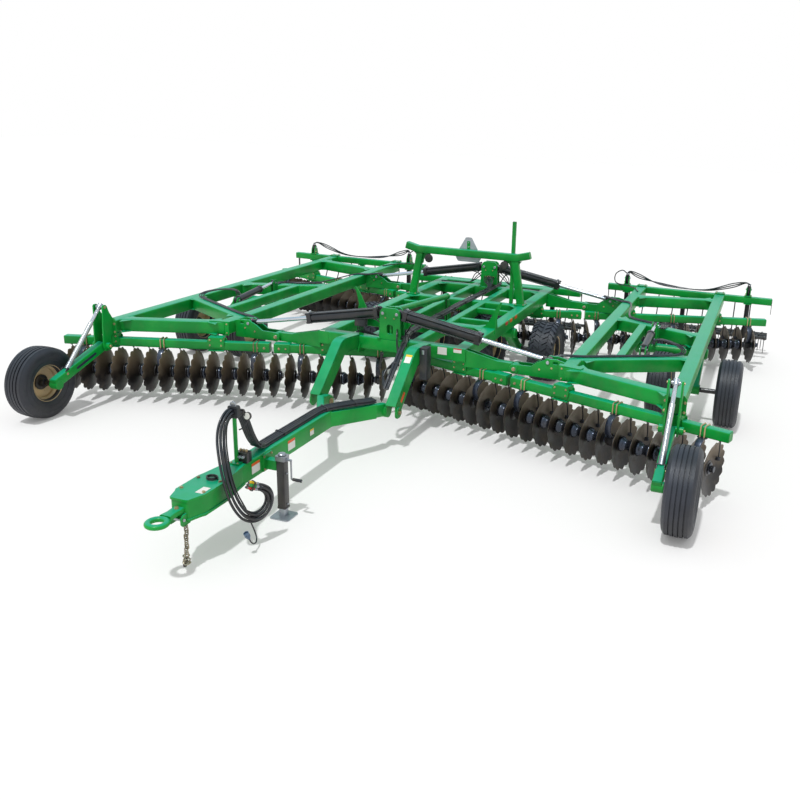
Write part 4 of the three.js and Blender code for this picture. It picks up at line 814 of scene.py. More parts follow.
def hinge_arm(shape, y):
    """Two plates from the wing's inner rail to the hinge, with the slotted lug of the fold cylinder."""
    half, root = ARM_HEIGHT / 2, WING_INNER_X - TUBE / 2 + 4
    eye = arc(HINGE_X, HINGE_Z, HINGE_EYE_R, degrees(110, 251, 20))
    hump = arc(LUG_X, LUG_Z, 45, degrees(60, 151, 30))
    outline = [*eye, (root, HINGE_Z - half), (root, FRAME_TOP - 1), (LUG_X + 95, LUG_Z + 42), *hump,
               (LUG_X - 120, LUG_Z - 16), (LUG_X - 190, HINGE_Z + half)]
    hole = moved(circle(EYE_PIN_R + 1, 16), LUG_X, LUG_Z)
    slot = slot_outline(LUG_X + 86, LUG_Z + 2, 62, 17)
    for side in BOTH:
        near, out = y + side * ARM_GAP / 2, ALONG_Y * side
        far = near + side * ARM_PLATE
        plate_across(shape, outline, (near, far), GREEN, [slot, hole])
        turn(shape, (HINGE_X, near, HINGE_Z), out, [(54, ARM_PLATE - 2), (52, ARM_PLATE + 9)], GREEN)
        bolt(shape, (HINGE_X, far + side * 9, HINGE_Z), out, 20)
        pin(shape, (LUG_X, near, LUG_Z), out, 0, ARM_PLATE + 12, EYE_PIN_R, ZINC, 16, 2)
        bolt(shape, (LUG_X + 45, far, LUG_Z - 60), out, 11)
        bolt(shape, (LUG_X - 90, far, LUG_Z - 90), out, 11)
    tube_box(shape, (WING_INNER_X - 200, y, HINGE_Z - 40), (root, y, HINGE_Z - 40), ARM_GAP, 20, GREEN, 3)


def cross_tube(shape, ends):
    """A slanted tube between the wing's rails, with the plates that strengthen its ends."""
    first, last = Vector((WING_INNER_X, ends[0], TUBE_Z)), Vector((WING_OUTER_X, ends[1], TUBE_Z))
    tube_box(shape, first, last, TUBE - 1, TUBE - 1, GREEN, 14)
    along = (last - first).normalized()
    side = Vector((along.y, -along.x, 0))
    corner = [(0, 0), (120, 0), (104, 12), (16, 78), (0, 96)]
    for (at, way), out in product(((first, 1), (last, -1)), BOTH):
        edge = at + along * way * 76 + side * out * (TUBE / 2 - 2)
        points = placed(corner, edge, along * way, side * out)
        for z in (FRAME_TOP - 14, FRAME_BOTTOM + 6):
            skin(shape, [[(p.x, p.y, z + lift) for p in points] for lift in (0, 9)], GREEN)


def wing_frame():
    shape = Shape()
    rail(shape, WING_INNER_X, (WING_INNER_FRONT, WING_REAR))
    rail(shape, WING_OUTER_X, (WING_OUTER_FRONT, WING_REAR))
    for ends in (WING_FRONT_TUBE, WING_BRACE_TUBE, WING_MIDDLE_TUBE, WING_REAR_TUBE):
        cross_tube(shape, ends)
    share = (WING_STUB_X - WING_INNER_X) / (WING_OUTER_X - WING_INNER_X)
    start, end = [(WING_STUB_X, ends[0] + (ends[1] - ends[0]) * share, FRAME_TOP - 60)
                  for ends in (WING_BRACE_TUBE, WING_MIDDLE_TUBE)]
    tube_box(shape, start, end, 100, 118, GREEN, 12)
    for y in (HINGE_FRONT_Y, HINGE_REAR_Y):
        hinge_arm(shape, y)
    z = HARROW_TOP - SLIM_TUBE / 2
    start, end = [(x, WING_HARROW_Y, z) for x in WING_HARROW_X]
    tube_box(shape, start, end, SLIM_TUBE, SLIM_TUBE, GREEN, 12)
    for x in (WING_INNER_X, WING_OUTER_X):
        tube_along(shape, (x, WING_HARROW_Y, z + 62), ALONG_Y, -70, 58, 150, 14, GREEN, 3)
        bolts(shape, (x - 50, x + 50), (WING_HARROW_Y - 42, WING_HARROW_Y + 42), (z + 68,), UP, 11)
    x, y = WING_INNER_X, WING_INNER_FRONT
    web = moved([(-96, -4), (150, -60), (170, 10), (90, 60), (-96, 60)], x, y)
    plate_flat(shape, web, (FRAME_TOP, FRAME_TOP + 12))
    low, high = FRAME_BOTTOM - 8, FRAME_TOP + 6
    plate_across(shape, [(x - 88, low), (x + 88, low), (x + 88, high), (x - 88, high)], (y - 14, y - 3))
    bolts(shape, (x - 60, x + 60), (y - 14,), (FRAME_BOTTOM + 20, FRAME_TOP - 20), -ALONG_Y, 10)
    return shape


def mast(y, top):
    """Two upright plates with a web between them and the base pins of two cylinders."""
    shape = Shape()
    gap, half = EYE_WIDTH / 2 + 6, MAST_WIDTH / 2
    outline = symmetric([(half, FRAME_TOP), (half - 10, top - 60), (half - 26, top - 22), (half - 56, top)])
    window = moved(rounded(76, 110, 24, 4), 0, FRAME_TOP + 120)
    bases = [Vector((x, y, CYLINDER_BASE_Z)) for x in (-CYLINDER_BASE_X, CYLINDER_BASE_X)]
    for side in BOTH:
        near, out = y + side * gap, ALONG_Y * side
        plate_across(shape, outline, (near, near + side * 25), GREEN, [window])
        for base in bases:
            pin(shape, base, out, gap, gap + 38, EYE_PIN_R, ZINC, 16, 2)
            washer = moved(circle(36, 20), base.x, base.z)
            plate_across(shape, washer, (near + side * 24, near + side * 30))
            bolt(shape, (base.x * 0.62, near + side * 25, base.z - 52), out, 9)
    for base in bases:
        pin(shape, base, ALONG_Y, -gap - 20, gap + 20, EYE_PIN_R, ZINC)
    tube_box(shape, (0, y, FRAME_TOP), (0, y, top - 34), 24, gap * 2, GREEN, 3, ALONG_Y)
    for x in (-half, half):
        tube_along(shape, (x * 0.99, y, FRAME_TOP + 6), ALONG_Y, -gap - 40, gap + 40, 40, 12, GREEN, 3)
    return shape


def front_mast():
    shape = mast(HINGE_FRONT_Y, FRONT_MAST_TOP)
    start, end = Vector((0, HINGE_FRONT_Y + 34, FRONT_MAST_TOP - 46)), Vector((0, *LEVEL_TUBE_END))
    length = (end - start).length
    profile = [(30, 0), (44, 4), (44, 110), (38, 116), (38, length - 60), (44, length - 56), (44, length - 4),
               (40, length)]
    turn(shape, start, end - start, profile, GREEN, 28)
    for x in (-30, 30):
        tube_box(shape, start + Vector((x, -20, 0)), start + Vector((x, 60, -6)), 12, 90, GREEN, 4)
    return shape


def rest_bar(y, half):
    """One half of the bar that the folded wings rest on, with its splayed post."""
    side = Shape()
    bend, tip = Vector((REST_BAR_HALF, y, REST_BAR_Z)), Vector((REST_TIP_X, y, REST_BAR_Z + REST_TIP_RISE))
    tube_box(side, (0, y, REST_BAR_Z), bend, REST_SIZE - 1, REST_SIZE - 1, GREEN, 12)
    tube_box(side, bend - Vector((14, 0, 2)), tip, REST_SIZE - 2, REST_SIZE - 2, GREEN, 12)
    tube_along(side, tip, (tip - bend).normalized(), -1, 4, REST_SIZE - 14, REST_SIZE - 14, GREEN, 8)
    foot, head = Vector((REST_FOOT_X, y, FRAME_TOP + 14)), Vector((REST_HEAD_X, y, REST_BAR_Z - half + 6))
    tube_box(side, foot, head, REST_SIZE - 1, REST_SIZE * 0.8, GREEN, 12, ALONG_Y)
    block(side, around(foot.x, 76), around(y, 76), (FRAME_TOP + 0.5, FRAME_TOP + 16), GREEN, 8)
    bolts(side, around(foot.x, 56), around(y, 56), (FRAME_TOP + 16,), UP, 12)
    # Curved braces between the posts and the bar.
    lean = (head.x - foot.x) / (head.z - foot.z)
    under = REST_BAR_Z - half
    for way, reach in ((-1, 150), (1, 62)):
        base_x = head.x + way * (half - 14)
        outline = [(base_x, under + 3)]
        for angle in [math.pi / 2 * t for t in (0, 0.25, 0.5, 0.75, 1)]:
            outline.append((head.x + way * (half - 6 + reach * (1 - math.sin(angle))),
                            under + 3 - 150 * (1 - math.cos(angle))))
        outline.append((base_x - lean * 150, under - 150))
        plate_across(side, outline, around(y, 8))
    block(side, (foot.x - 30, foot.x - 12), around(y, 52), (FRAME_TOP + 10, FRAME_TOP + 90), GREEN, 3)
    return side


def wing_rest():
    y, half = REST_BAR_Y, REST_SIZE / 2
    shape = rest_bar(y, half).both_sides()
    # Round black lamps below the bar.
    for x in (-LAMP_X, LAMP_X):
        middle = Vector((x, y - 34, REST_BAR_Z - 116))
        turn(shape, middle, -ALONG_Y, [(30, -34), (52, -26), (60, -6), (60, 6), (54, 10)], BLACK, 28)
        turn(shape, middle - ALONG_Y * 7, -ALONG_Y, [(52, 0), (50, 5), (30, 8)], PLASTIC, 28)
        tube_along(shape, middle + Vector((0, 20, 20)), UP, 0, 54, 34, 5, BLACK, 2)
        tube_along(shape, middle, ALONG_X, -58, 58, 10, 5, BLACK, 2)
    # The rounded triangle of the slow-moving sign, seen from its plain back.
    corners = []
    for i in range(3):
        corners += arc(0, 0, SIGN_R,
                       [math.pi / 2 + i * 2 * math.pi / 3 + a for a in (-0.22, -0.1, 0.1, 0.22)])
    back = y + half
    plate_across(shape, moved(corners, 0, SIGN_Z), (back + 1, back + 4), PLATE_GREY)
    plate_across(shape, moved(corners, 0, SIGN_Z, 0.7), (back + 3.5, back + 5), ORANGE)
    tube_box(shape, (0, back - 2, REST_BAR_Z + 30), (0, back - 2, SIGN_Z + 150), 44, 8, GREEN, 2, ALONG_Y)
    bolts(shape, (0,), (back - 6,), (SIGN_Z + 70, SIGN_Z + 130), -ALONG_Y, 8, ZINC)
    # The tall slim post.
    post = (POST_X, back + 20, 0)
    tube_along(shape, post, UP, FRAME_TOP + 1, POST_TOP, 50, 50, GREEN, 7, ALONG_Y)
    tube_along(shape, post, UP, POST_TOP - 3, POST_TOP + 2, 44, 44, BLACK, 6, ALONG_Y)
    bolts(shape, (POST_X,), (back - 6,), (REST_BAR_Z - 20, REST_BAR_Z + 26), -ALONG_Y, 8)
    return shape


def cylinder_eye(shape, middle):
    profile = [(EYE_PIN_R + 1, 0), (EYE_R - 3, 0), (EYE_R, 3), (EYE_R, EYE_WIDTH - 3), (EYE_R - 3, EYE_WIDTH),
               (EYE_PIN_R + 1, EYE_WIDTH)]
    turn(shape, middle - ALONG_Y * (EYE_WIDTH / 2), ALONG_Y, profile, BLACK, 28, True)


def fold_cylinder(y):
    """The barrel and the rod of one tie-rod cylinder, on the left side."""
    base, lug = Vector((CYLINDER_BASE_X, y, CYLINDER_BASE_Z)), Vector((LUG_X, y, LUG_Z))
    along, span = (lug - base).normalized(), (lug - base).length
    top = along.cross(ALONG_Y)
    barrel, shaft = Shape(), Shape()

    def at(place, across=0, high=0):
        return base + along * place + ALONG_Y * across + top * high

    start, end = BARREL_START, BARREL_LENGTH
    cylinder_eye(barrel, base)
    tube_box(barrel, at(EYE_R - 10), at(start + 4), 56, 62, BLACK, 8)
    turn(barrel, at(start + 40), along, [(58, 0), (58, end - start - 84)], BLACK, 32)
    for a, b in ((start, start + 50), (end - 56, end)):
        tube_box(barrel, at(a), at(b), 128, 128, BLACK, 14)
    for across, high in product((-50, 50), (-50, 50)):
        rod(barrel, at(start + 46, across, high), at(end - 54, across, high), 8, BLACK, 10)
        for place, way in ((start, -1), (end, 1)):
            pin(barrel, at(place, across, high), along * way, 0, 11, 14, BLACK, 6, 2)
    turn(barrel, at(end - 2), along, [(46, 0), (46, 12), (34, 16), (34, 20)], BLACK, 28)
    for place in (start + 25, end - 28):
        pin(barrel, at(place), top, 60, 84, 16, ZINC, 6, 2)
    rod(shaft, at(end - ROD_INSIDE), at(span - EYE_R - 26), ROD_R, CHROME, 28)
    tube_box(shaft, at(span - EYE_R - 40), at(span - EYE_R + 8), 60, 62, BLACK, 9)
    cylinder_eye(shaft, at(span))
    return barrel, shaft


def build_fold_cylinders():
    for place, y in (("front", HINGE_FRONT_Y), ("rear", HINGE_REAR_Y)):
        barrel, shaft = fold_cylinder(y)
        for side in SIDES:
            for part, shape, slot, bevel in (("barrel", barrel, "black_paint", 1.5),
                                             ("rod", shaft, "chrome", 0.0)):
                stem = f"{place}_fold_{part}_{side}"
                make_piece(f"{stem}_steel", shape.on(side), stem, [stem], bevel)


# ---- Wheels ------------------------------------------------------------------------------------

TREAD_LUGS, LUG_ROWS = 30, ((0.10, 0.50), (0.56, 0.96))
WHEEL_BOLTS, BOLT_CIRCLE_R = 8, 72


def tread_lugs(shape, middle, half):
    """Angled blocks in two staggered rows on each half of the tread."""
    for i, (row, (near, far)), way in product(range(TREAD_LUGS), enumerate(LUG_ROWS), BOTH):
        angle = 2 * math.pi * (i + 0.5 * row + (0.25 if way > 0 else 0)) / TREAD_LUGS
        wide = 0.062 if row else 0.07
        rings = []
        for part in (0, 1):
            place = (near + (far - near) * part) * half * way
            lean = angle + (0.075 if row else -0.06) * (part - 0.5) * 2
            low = TYRE_R - 26 - (18 if row and part else 0)
            high = TYRE_R - (10 if row and part else 0)
            ring = [(-wide, low), (-wide * 0.8, high), (wide * 0.8, high), (wide, low)]
            rings.append([middle + Vector((place, r * math.cos(lean + a), r * math.sin(lean + a))) for a,
                          r in ring])
        skin(shape, rings, RUBBER)


def wheel(x, y, width, rim_r, lugs, outward):
    """A tyre with ribs, or with angled blocks if lugs is set, on a tan rim with a black bolted hub."""
    shape = Shape()
    middle, out, half = Vector((x, y, TYRE_R)), ALONG_X * outward, width / 2
    flank = [(rim_r - 2, half * 0.76), (rim_r + 10, half * 0.84), (rim_r + 40, half * 0.93),
             (rim_r + 95, half * 0.99), (TYRE_R - 66, half), (TYRE_R - 44, half * 0.96),
             (TYRE_R - 24, half * 0.87)]
    top = []
    if lugs:
        flank.append((TYRE_R - 17, half * 0.82))
        top = [(TYRE_R - 17, half * 0.74), (TYRE_R - 14, 0), (TYRE_R - 17, -half * 0.74)]
    else:
        flank.append((TYRE_R - 11, half * 0.765))
        edge = half * 0.76
        for i, crown in enumerate((-2, 2.5, 4, 2.5, -2)):
            near, far = edge - i * edge * 0.4, edge - (i + 1) * edge * 0.4
            top += [(TYRE_R - 4 + crown, near - (6 if i else 2)),
                    (TYRE_R - 4 + crown, far + (6 if i < 4 else 2))]
            if i < 4:
                top += [(TYRE_R - 17, far + 4), (TYRE_R - 17, far - 4)]
    bead = [(rim_r - 14, -half * 0.7), (rim_r - 14, half * 0.7)]
    turn(shape, middle, ALONG_X, flank + top + [(r, -a) for r, a in flank[::-1]] + bead, RUBBER, 64, True)
    if lugs:
        tread_lugs(shape, middle, half)
    for (r, a), way in product(((rim_r + 60, half * 0.965), (rim_r + 118, half)), BOTH):
        ring = [(r - 3, a - 3), (r - 2, a + 1.5), (r + 2, a + 1.5), (r + 3, a - 3)]
        turn(shape, middle, ALONG_X * way, ring, RUBBER, 64, True)
    lip = half * 0.80
    flange = [(9, lip), (9, lip - 5), (-5, lip - 12), (-9, lip * 0.5), (-26, lip * 0.4)]
    inside = [(-34, lip * 0.36), (-15, lip * 0.5), (-3, lip - 2)]
    profile = flange + [(r, -a) for r, a in flange[::-1] + inside[::-1]] + inside
    turn(shape, middle, ALONG_X, [(rim_r + r, a) for r, a in profile], RIM, 64, True)
    face = middle + out * half * 0.16
    dish = [(AXLE_R + 8, -5), (rim_r - 70, -5), (rim_r - 48, -14), (rim_r - 28, -26), (rim_r - 28, -18),
            (rim_r - 48, -5), (rim_r - 70, 5), (AXLE_R + 8, 5)]
    turn(shape, face, ALONG_X, dish, RIM, 64, True)
    hub = half * 0.5
    barrel = [(AXLE_R + 2, -hub), (44, -hub), (48, -hub + 6), (50, -12), (HUB_R, -8)]
    turn(shape, middle, ALONG_X, barrel + [(r, -a) for r, a in barrel[::-1]], HUB, 32, True)
    turn(shape, face, out, [(60, 5), (92, 5), (92, 12), (88, 15), (60, 15)], HUB, 40, True)
    cap = [(20, hub * 0.9), (40, hub * 0.9), (40, hub + 12), (32, hub + 20), (10, hub + 22)]
    turn(shape, middle, out, cap, HUB)
    for a, b in circle(BOLT_CIRCLE_R, WHEEL_BOLTS):
        bolt(shape, face + out * 15 + Vector((0, a, b)), out, 11, ZINC if lugs else HUB)
    return shape


def build_wheels():
    wing, centre = (WING_TYRE_WIDTH, WING_RIM_R, False), (CENTRE_TYRE_WIDTH, CENTRE_RIM_R, True)
    places = [("gauge_wheel", GAUGE_WHEEL_X, GAUGE_WHEEL_Y, wing, 1)]
    for name, x, offset, y, kind in (("wing_wheel", WING_OUTER_X, WING_WHEEL_OFFSET, WING_WHEEL_Y, wing),
                                     ("centre_wheel", CENTRE_RAIL_X, CENTRE_WHEEL_OFFSET, CENTRE_WHEEL_Y,
                                      centre)):
        places += [(name + "_inner", x - offset, y, kind, -1), (name + "_outer", x + offset, y, kind, 1)]
    for name, x, y, kind, outward in places:
        side_pieces(name, "tyre", wheel(x, y, *kind, outward), 0, 32, body=name)


# ---- Rockshafts and gauge wheel arms -----------------------------------------------------------


def small_cylinder(shape, start, end, share=0.62):
    """A black lift cylinder between two pins, part of one body."""
    start, end = Vector(start), Vector(end)
    along, length = (end - start).normalized(), (end - start).length
    for at in (start, end):
        pin(shape, at, ALONG_X, -26, 26, 34, BLACK, 20, 3)
        pin(shape, at, ALONG_X, -48, 48, 15, ZINC, 14, 2)
    mouth = length * share
    profile = [(30, 24), (52, 34), (52, 60), (44, 62), (44, mouth - 34), (52, mouth - 32), (52, mouth),
               (26, mouth + 6)]
    turn(shape, start, along, profile, BLACK)
    pin(shape, start, along, mouth, length - 20, 21, CHROME, 20)


def wheel_arm(shape, x, shaft_y, axle_y, offset, wheel_width):
    shaft, axle = Vector((x, shaft_y, ROCKSHAFT_Z)), Vector((x, axle_y, TYRE_R))
    tube_box(shape, shaft, axle, 109, 119, GREEN, 12)
    pin(shape, axle, ALONG_X, -69, 69, 61, GREEN, 32, 4)
    pin(shape, shaft, ALONG_X, -74, 74, ROCKSHAFT_R + 11, GREEN, 32, 4)
    reach = offset + wheel_width / 4 + 6
    pin(shape, axle, ALONG_X, -reach, reach, AXLE_R - 0.5, BLACK, 20, 3)


def shaft_hanger(shape, x, y, top):
    outline = symmetric([(58, top), (84, ROCKSHAFT_Z + 10), (60, ROCKSHAFT_Z - 66)])
    for dx in (-11, 11):
        plate_along(shape, moved(outline, y, 0), (x + dx, x + dx * 0.2))
    pin(shape, (x, y, ROCKSHAFT_Z), ALONG_X, -26, 26, ROCKSHAFT_R + 20, GREEN, 28, 4)


def build_rockshafts():
    y, (end_y, end_z) = CENTRE_ROCKSHAFT_Y, LEVEL_TUBE_END
    half = Shape()
    pin(half, (0, y, ROCKSHAFT_Z), ALONG_X, 0, CENTRE_RAIL_X + 108, ROCKSHAFT_R - 0.5, GREEN, 32, 4)
    wheel_arm(half, CENTRE_RAIL_X, y, CENTRE_WHEEL_Y, CENTRE_WHEEL_OFFSET, CENTRE_TYRE_WIDTH)
    shaft_hanger(half, CENTRE_INNER_X + 430, y, FRAME_BOTTOM - 1)
    shape = half.both_sides()
    lever = moved([(-62, 0), (-40, -66), (40, -66), (62, 0)], y, ROCKSHAFT_Z)
    lever += moved([(38, -46), (0, -43), (-38, -46)], end_y, end_z)
    for x in (-25, 11):
        plate_along(shape, lever, (x, x + 14))
    centre_piece("centre_rockshaft", shape, 1.5)
    y = WING_ROCKSHAFT_Y
    wing = Shape()
    start, end = (WING_STUB_X - 58, y, ROCKSHAFT_Z), (WING_OUTER_X + 88, y, ROCKSHAFT_Z)
    rod(wing, start, end, ROCKSHAFT_R - 0.5, GREEN, 32, 4)
    wheel_arm(wing, WING_OUTER_X, y, WING_WHEEL_Y, WING_WHEEL_OFFSET, WING_TYRE_WIDTH)
    shaft_hanger(wing, WING_STUB_X, y, FRAME_TOP - 121)
    x = WING_STUB_X + 190
    small_cylinder(wing, (x, 1010, FRAME_TOP - 20), (x, y - 40, FRAME_TOP + 70))
    lever = moved([(-62, -20), (62, -20)], y, ROCKSHAFT_Z) + moved([(4, 104), (-64, 112), (-84, 60)], y,
                                                                   FRAME_TOP)
    lug = moved([(-80, -90), (0, -90), (40, -20), (20, 16), (-20, 16)], 1010, FRAME_TOP)
    for dx, outline in product((-36, 24), (lever, lug)):
        plate_along(wing, outline, (x + dx - 2, x + dx + 12))
    side_pieces("wing_rockshaft", "steel", wing, 1.5)


def gauge_strut(shape, high, low):
    """The screw strut from the bracket's top down to the gauge wheel's arm."""
    line, span = (low - high).normalized(), (low - high).length
    pin(shape, high, ALONG_X, -44, 44, 18, ZINC, 18)
    pin(shape, high, line, -40, 30, 30, ZINC, 20, 4)
    thread = [(20 + (2.5 if i % 2 else -1), 26 + i * 5) for i in range(40)]
    turn(shape, high, line, [(20, 24)] + thread + [(24, 230)], CHROME, 18)
    pin(shape, high, line, 220, span - 150, 27, STEEL, 24, 4)
    pin(shape, high, line, span - 152, span - 60, 32, ZINC, 20, 4)
    for way in BOTH:
        tube_along(shape, low + ALONG_X * way * 36, line, -70, 18, 12, 74, BLACK, 5, ALONG_Y)
    pin(shape, low - line * 10, ALONG_X, -50, 50, 15, GOLD, 16, 2)


def gauge_arm():
    shape = Shape()
    x, half, wheel_y = GAUGE_ARM_X, GAUGE_ARM_WIDTH / 2, GAUGE_WHEEL_Y
    pivot, nose = Vector((x, GAUGE_PIVOT_Y, GAUGE_PIVOT_Z)), Vector((x, wheel_y - 40, TYRE_R + 20))
    along, side, top = axes(nose - pivot)
    tube_box(shape, pivot + along * 20, nose, GAUGE_ARM_WIDTH, 110, GREEN, 14)
    tube_along(shape, nose, along, -4, 5, GAUGE_ARM_WIDTH - 12, 96, GREEN, 8)
    for way in BOTH:
        plate(shape, slot_outline(0, 0, 330, 15), pivot + along * 330 + side * way * (half + 1), along, top,
              4, STRIP)
    pin(shape, pivot, ALONG_X, -119, 119, 38, GREEN, 28, 3)
    for way in BOTH:
        bolt(shape, pivot + ALONG_X * way * 119, ALONG_X * way, 17)
    axle = Vector((x, wheel_y, TYRE_R))
    reach = GAUGE_WHEEL_X - x + WING_TYRE_WIDTH / 4 + 6
    pin(shape, axle, ALONG_X, -half, reach, AXLE_R - 0.5, BLACK, 20, 3)
    pin(shape, axle, ALONG_X, -half - 4, half + 14, 52, GREEN, 28, 4)
    face = WING_OUTER_FRONT
    cheek = [(face - 1, FRAME_TOP + 20), (face - 1, FRAME_BOTTOM + 5),
             (GAUGE_PIVOT_Y + 70, FRAME_BOTTOM - 10)]
    cheek += moved([(66, -30), (30, -62), (-30, -56), (-54, -6), (-50, 70)], GAUGE_PIVOT_Y, GAUGE_PIVOT_Z)
    cheek += moved([(-52, -20), (-36, 90)], STRUT_TOP_Y, FRAME_TOP)
    cheek += moved([(-34, -14), (-18, 6), (18, 6), (36, -14)], STRUT_TOP_Y, STRUT_TOP_Z)
    cheek.append((STRUT_TOP_Y + 60, FRAME_TOP + 130))
    flange = [(8, FRAME_BOTTOM - 6), (66, FRAME_BOTTOM - 6), (66, FRAME_TOP + 8), (36, FRAME_TOP + 44),
              (8, FRAME_TOP + 44)]
    for way in BOTH:
        plate_along(shape, cheek, (x + way * (half + 11), x + way * (half + 29)))
        bolt(shape, (x + way * (half + 29), STRUT_TOP_Y, STRUT_TOP_Z - 20), ALONG_X * way, 15)
        plate_across(shape, [(x + way * (half + a), z) for a, z in flange], (face - 18, face - 2))
        bolts(shape, (x + way * (half + 48),), (face - 18,), (FRAME_BOTTOM + 26, FRAME_TOP - 26), -ALONG_Y,
              14)
    plate_across(shape, moved(symmetric([(half + 28, FRAME_BOTTOM + 6), (half + 28, FRAME_TOP + 19)]), x, 0),
                 (face - 18, face - 2))
    gauge_strut(shape, Vector((x, STRUT_TOP_Y, STRUT_TOP_Z - 20)), Vector((x, wheel_y + 120, TYRE_R + 90)))
    return shape


# ---- Tongue, jack and their fittings -----------------------------------------------------------


def yoke_side():
    """One arm of the yoke from the tongue's pin in to the beam."""
    side = Shape()
    boss_in, boss_out = LEG_X - LEG_WIDTH / 2 - 95, LEG_X - LEG_WIDTH / 2 - 6
    width, x = boss_out - boss_in, (boss_in + boss_out) / 2
    start = Vector((x, TONGUE_PIN_Y, TONGUE_PIN_Z + 10))
    bend = Vector((x - 30, TONGUE_PIN_Y - 190, TONGUE_PIN_Z + 45))
    end = Vector((30, BEAM_REAR - 40, TONGUE_Z))
    tube_box(side, start, bend, 79, 138, GREEN, 12)
    tube_box(side, bend - (end - bend).normalized() * 22, end, 79, 158, GREEN, 14)
    boss = [(28, 0), (66, 0), (70, 4), (70, width - 4), (66, width), (28, width)]
    turn(side, (boss_in, TONGUE_PIN_Y, TONGUE_PIN_Z), ALONG_X, boss, GREEN, 36, True)
    washer = [(28, 0), (42, 0), (42, 9), (28, 9)]
    turn(side, (boss_in - 9, TONGUE_PIN_Y, TONGUE_PIN_Z), ALONG_X, washer, GOLD, 28, True)
    web = moved([(0, 90), (60, 80), (150, 190), (40, -40), (0, -60)], 0, BEAM_REAR)
    plate_flat(side, web, (BEAM_HIGH - 6, BEAM_HIGH + 6))
    return side


def tongue_nose(shape):
    """The two nose plates, the web between them, and the forged ring eye with its shank."""
    half, wide, front = BEAM_WIDTH / 2, NOSE_WIDTH / 2, NOSE_FRONT
    outline = [(half, BEAM_FRONT + 260), (wide - 10, BEAM_FRONT - 30), (wide, BEAM_FRONT - 70),
               (wide, front + 140),
               (wide - 18, front + 108), (84, front + 8), (66, front)]
    outline = symmetric(outline)
    for z in ((BEAM_HIGH - 20, BEAM_HIGH), (BEAM_LOW, BEAM_LOW + 20)):
        plate_flat(shape, outline, z)
    web = [(x * 0.93, y + (8 if y < front + 60 else 0)) for x, y in outline]
    plate_flat(shape, web, (BEAM_LOW + 18, BEAM_HIGH - 18))
    bolts(shape, around(0, wide - 32), (BEAM_FRONT - 110, front + 170), (BEAM_HIGH,), UP, 15)
    rings = [placed([(a * k, b) for a, b in rounded(92, 46, 12)], (0, y, EYE_Z), ALONG_X, UP)
             for y, k in ((front + 80, 1.0), (front - 20, 1.0), (front - 90, 0.86), (EYE_Y + 88, 1.1))]
    skin(shape, rings, GREEN)
    ring = [(68.5 + 26 * a, 22 * b) for a, b in circle(1, 14)]
    turn(shape, (0, EYE_Y, EYE_Z), UP, ring, GREEN, 48, True)
    bolt(shape, (0, front - 26, EYE_Z + 23), UP, 18)


def chain_link(shape, middle, first, second, radius, sides, stretch):
    outline = [(a, b + (stretch if b > 0 else -stretch)) for a, b in circle(radius, sides)]
    path = placed(outline, middle, first, second)
    frames = path_frames(path + path[:2])[1:-1]
    skin(shape, [placed(circle(6, 6), p, s, t) for p, s, t in frames], CHAIN, True)


def safety_chain(shape):
    """Clevis plates and the safety chain with its hook, below the nose."""
    clevis = [(-3798, 404), (-3782, 384), (-3700, 384), (-3666, 420), (-3666, 477), (-3770, 477),
              (-3798, 450)]
    for x in (-62, 50):
        plate_along(shape, clevis, (x, x + 14))
    pin(shape, (0, -3772, 436), ALONG_X, -70, 72, 13, ZINC, 16, 2)
    for i in range(8):
        spot = Vector((CHAIN_X + (i % 3 - 1) * 3, CHAIN_Y - i * 2.5, CHAIN_TOP - i * LINK_PITCH))
        chain_link(shape, spot, ALONG_X if i % 2 else ALONG_Y, UP, 16, 12, 11)
    for _ in range(7):
        first, second, _ = axes([random.uniform(-reach, reach) for reach in (1, 1, 0.4)])
        spot = Vector((CHAIN_X + random.uniform(-24, 24), -3764 + random.uniform(-22, 22),
                       92 + random.uniform(-30, 26)))
        chain_link(shape, spot, first, second, 15, 10, 9)
    hook = [(-3764, 116), (-3764, 84), (-3768, 66), (-3784, 52), (-3800, 60), (-3802, 76)]
    pipe(shape, [(CHAIN_X, y, z) for y, z in hook], 8, BLACK)


def hose_stand(shape):
    """The stand that holds the hoses, with its clamp, ring, gauge and valve block."""
    y, high = STAND_Y, BEAM_HIGH
    pin(shape, (0, y, 0), UP, high, STAND_TOP + 60, 17, GREEN, 20)
    block(shape, around(0, 46), around(y, 46), (high + 0.5, high + 12), GREEN, 6)
    bolts(shape, around(0, 30), around(y, 30), (high + 12,), UP, 9)
    tube_along(shape, (0, y, CLAMP_Z), ALONG_Y, -24, 24, 90, 104, PLASTIC, 14)
    for z in (CLAMP_Z - 31, CLAMP_Z + 31):
        tube_along(shape, (0, y, z), ALONG_Y, -24.6, 24.6, 93, 12, BLACK, 3)
    ring = [(26 * math.cos(a), y - 10, 1110 + 24 * math.sin(a)) for a in degrees(-60, 241, 30)]
    pipe(shape, ring, 5, ZINC, 8, 2)
    dial = Vector(GAUGE_PLACE)
    rod(shape, dial, dial + Vector((0, -23, 5)), 34, PLASTIC, 28, 3)
    rod(shape, dial + Vector((0, -22, 5)), dial + Vector((0, -26, 5.5)), 29, WHITE, 28)
    pipe(shape, [(58, -2886, 960), (52, -2900, 930), (34, -2930, 890), (18, -2960, 880)], 6)
    block(shape, (-18, 88), (-2970, -2896), (high + 1, high + 92), BLACK, 5)
    for x in (6, 34, 62):
        pin(shape, (x, y, high + 60), -ALONG_Y, -18, 8, 13, ZINC, 6, 2)
        pin(shape, (x, -2934, high), UP, 90, 112, 11, GOLD, 6, 2)


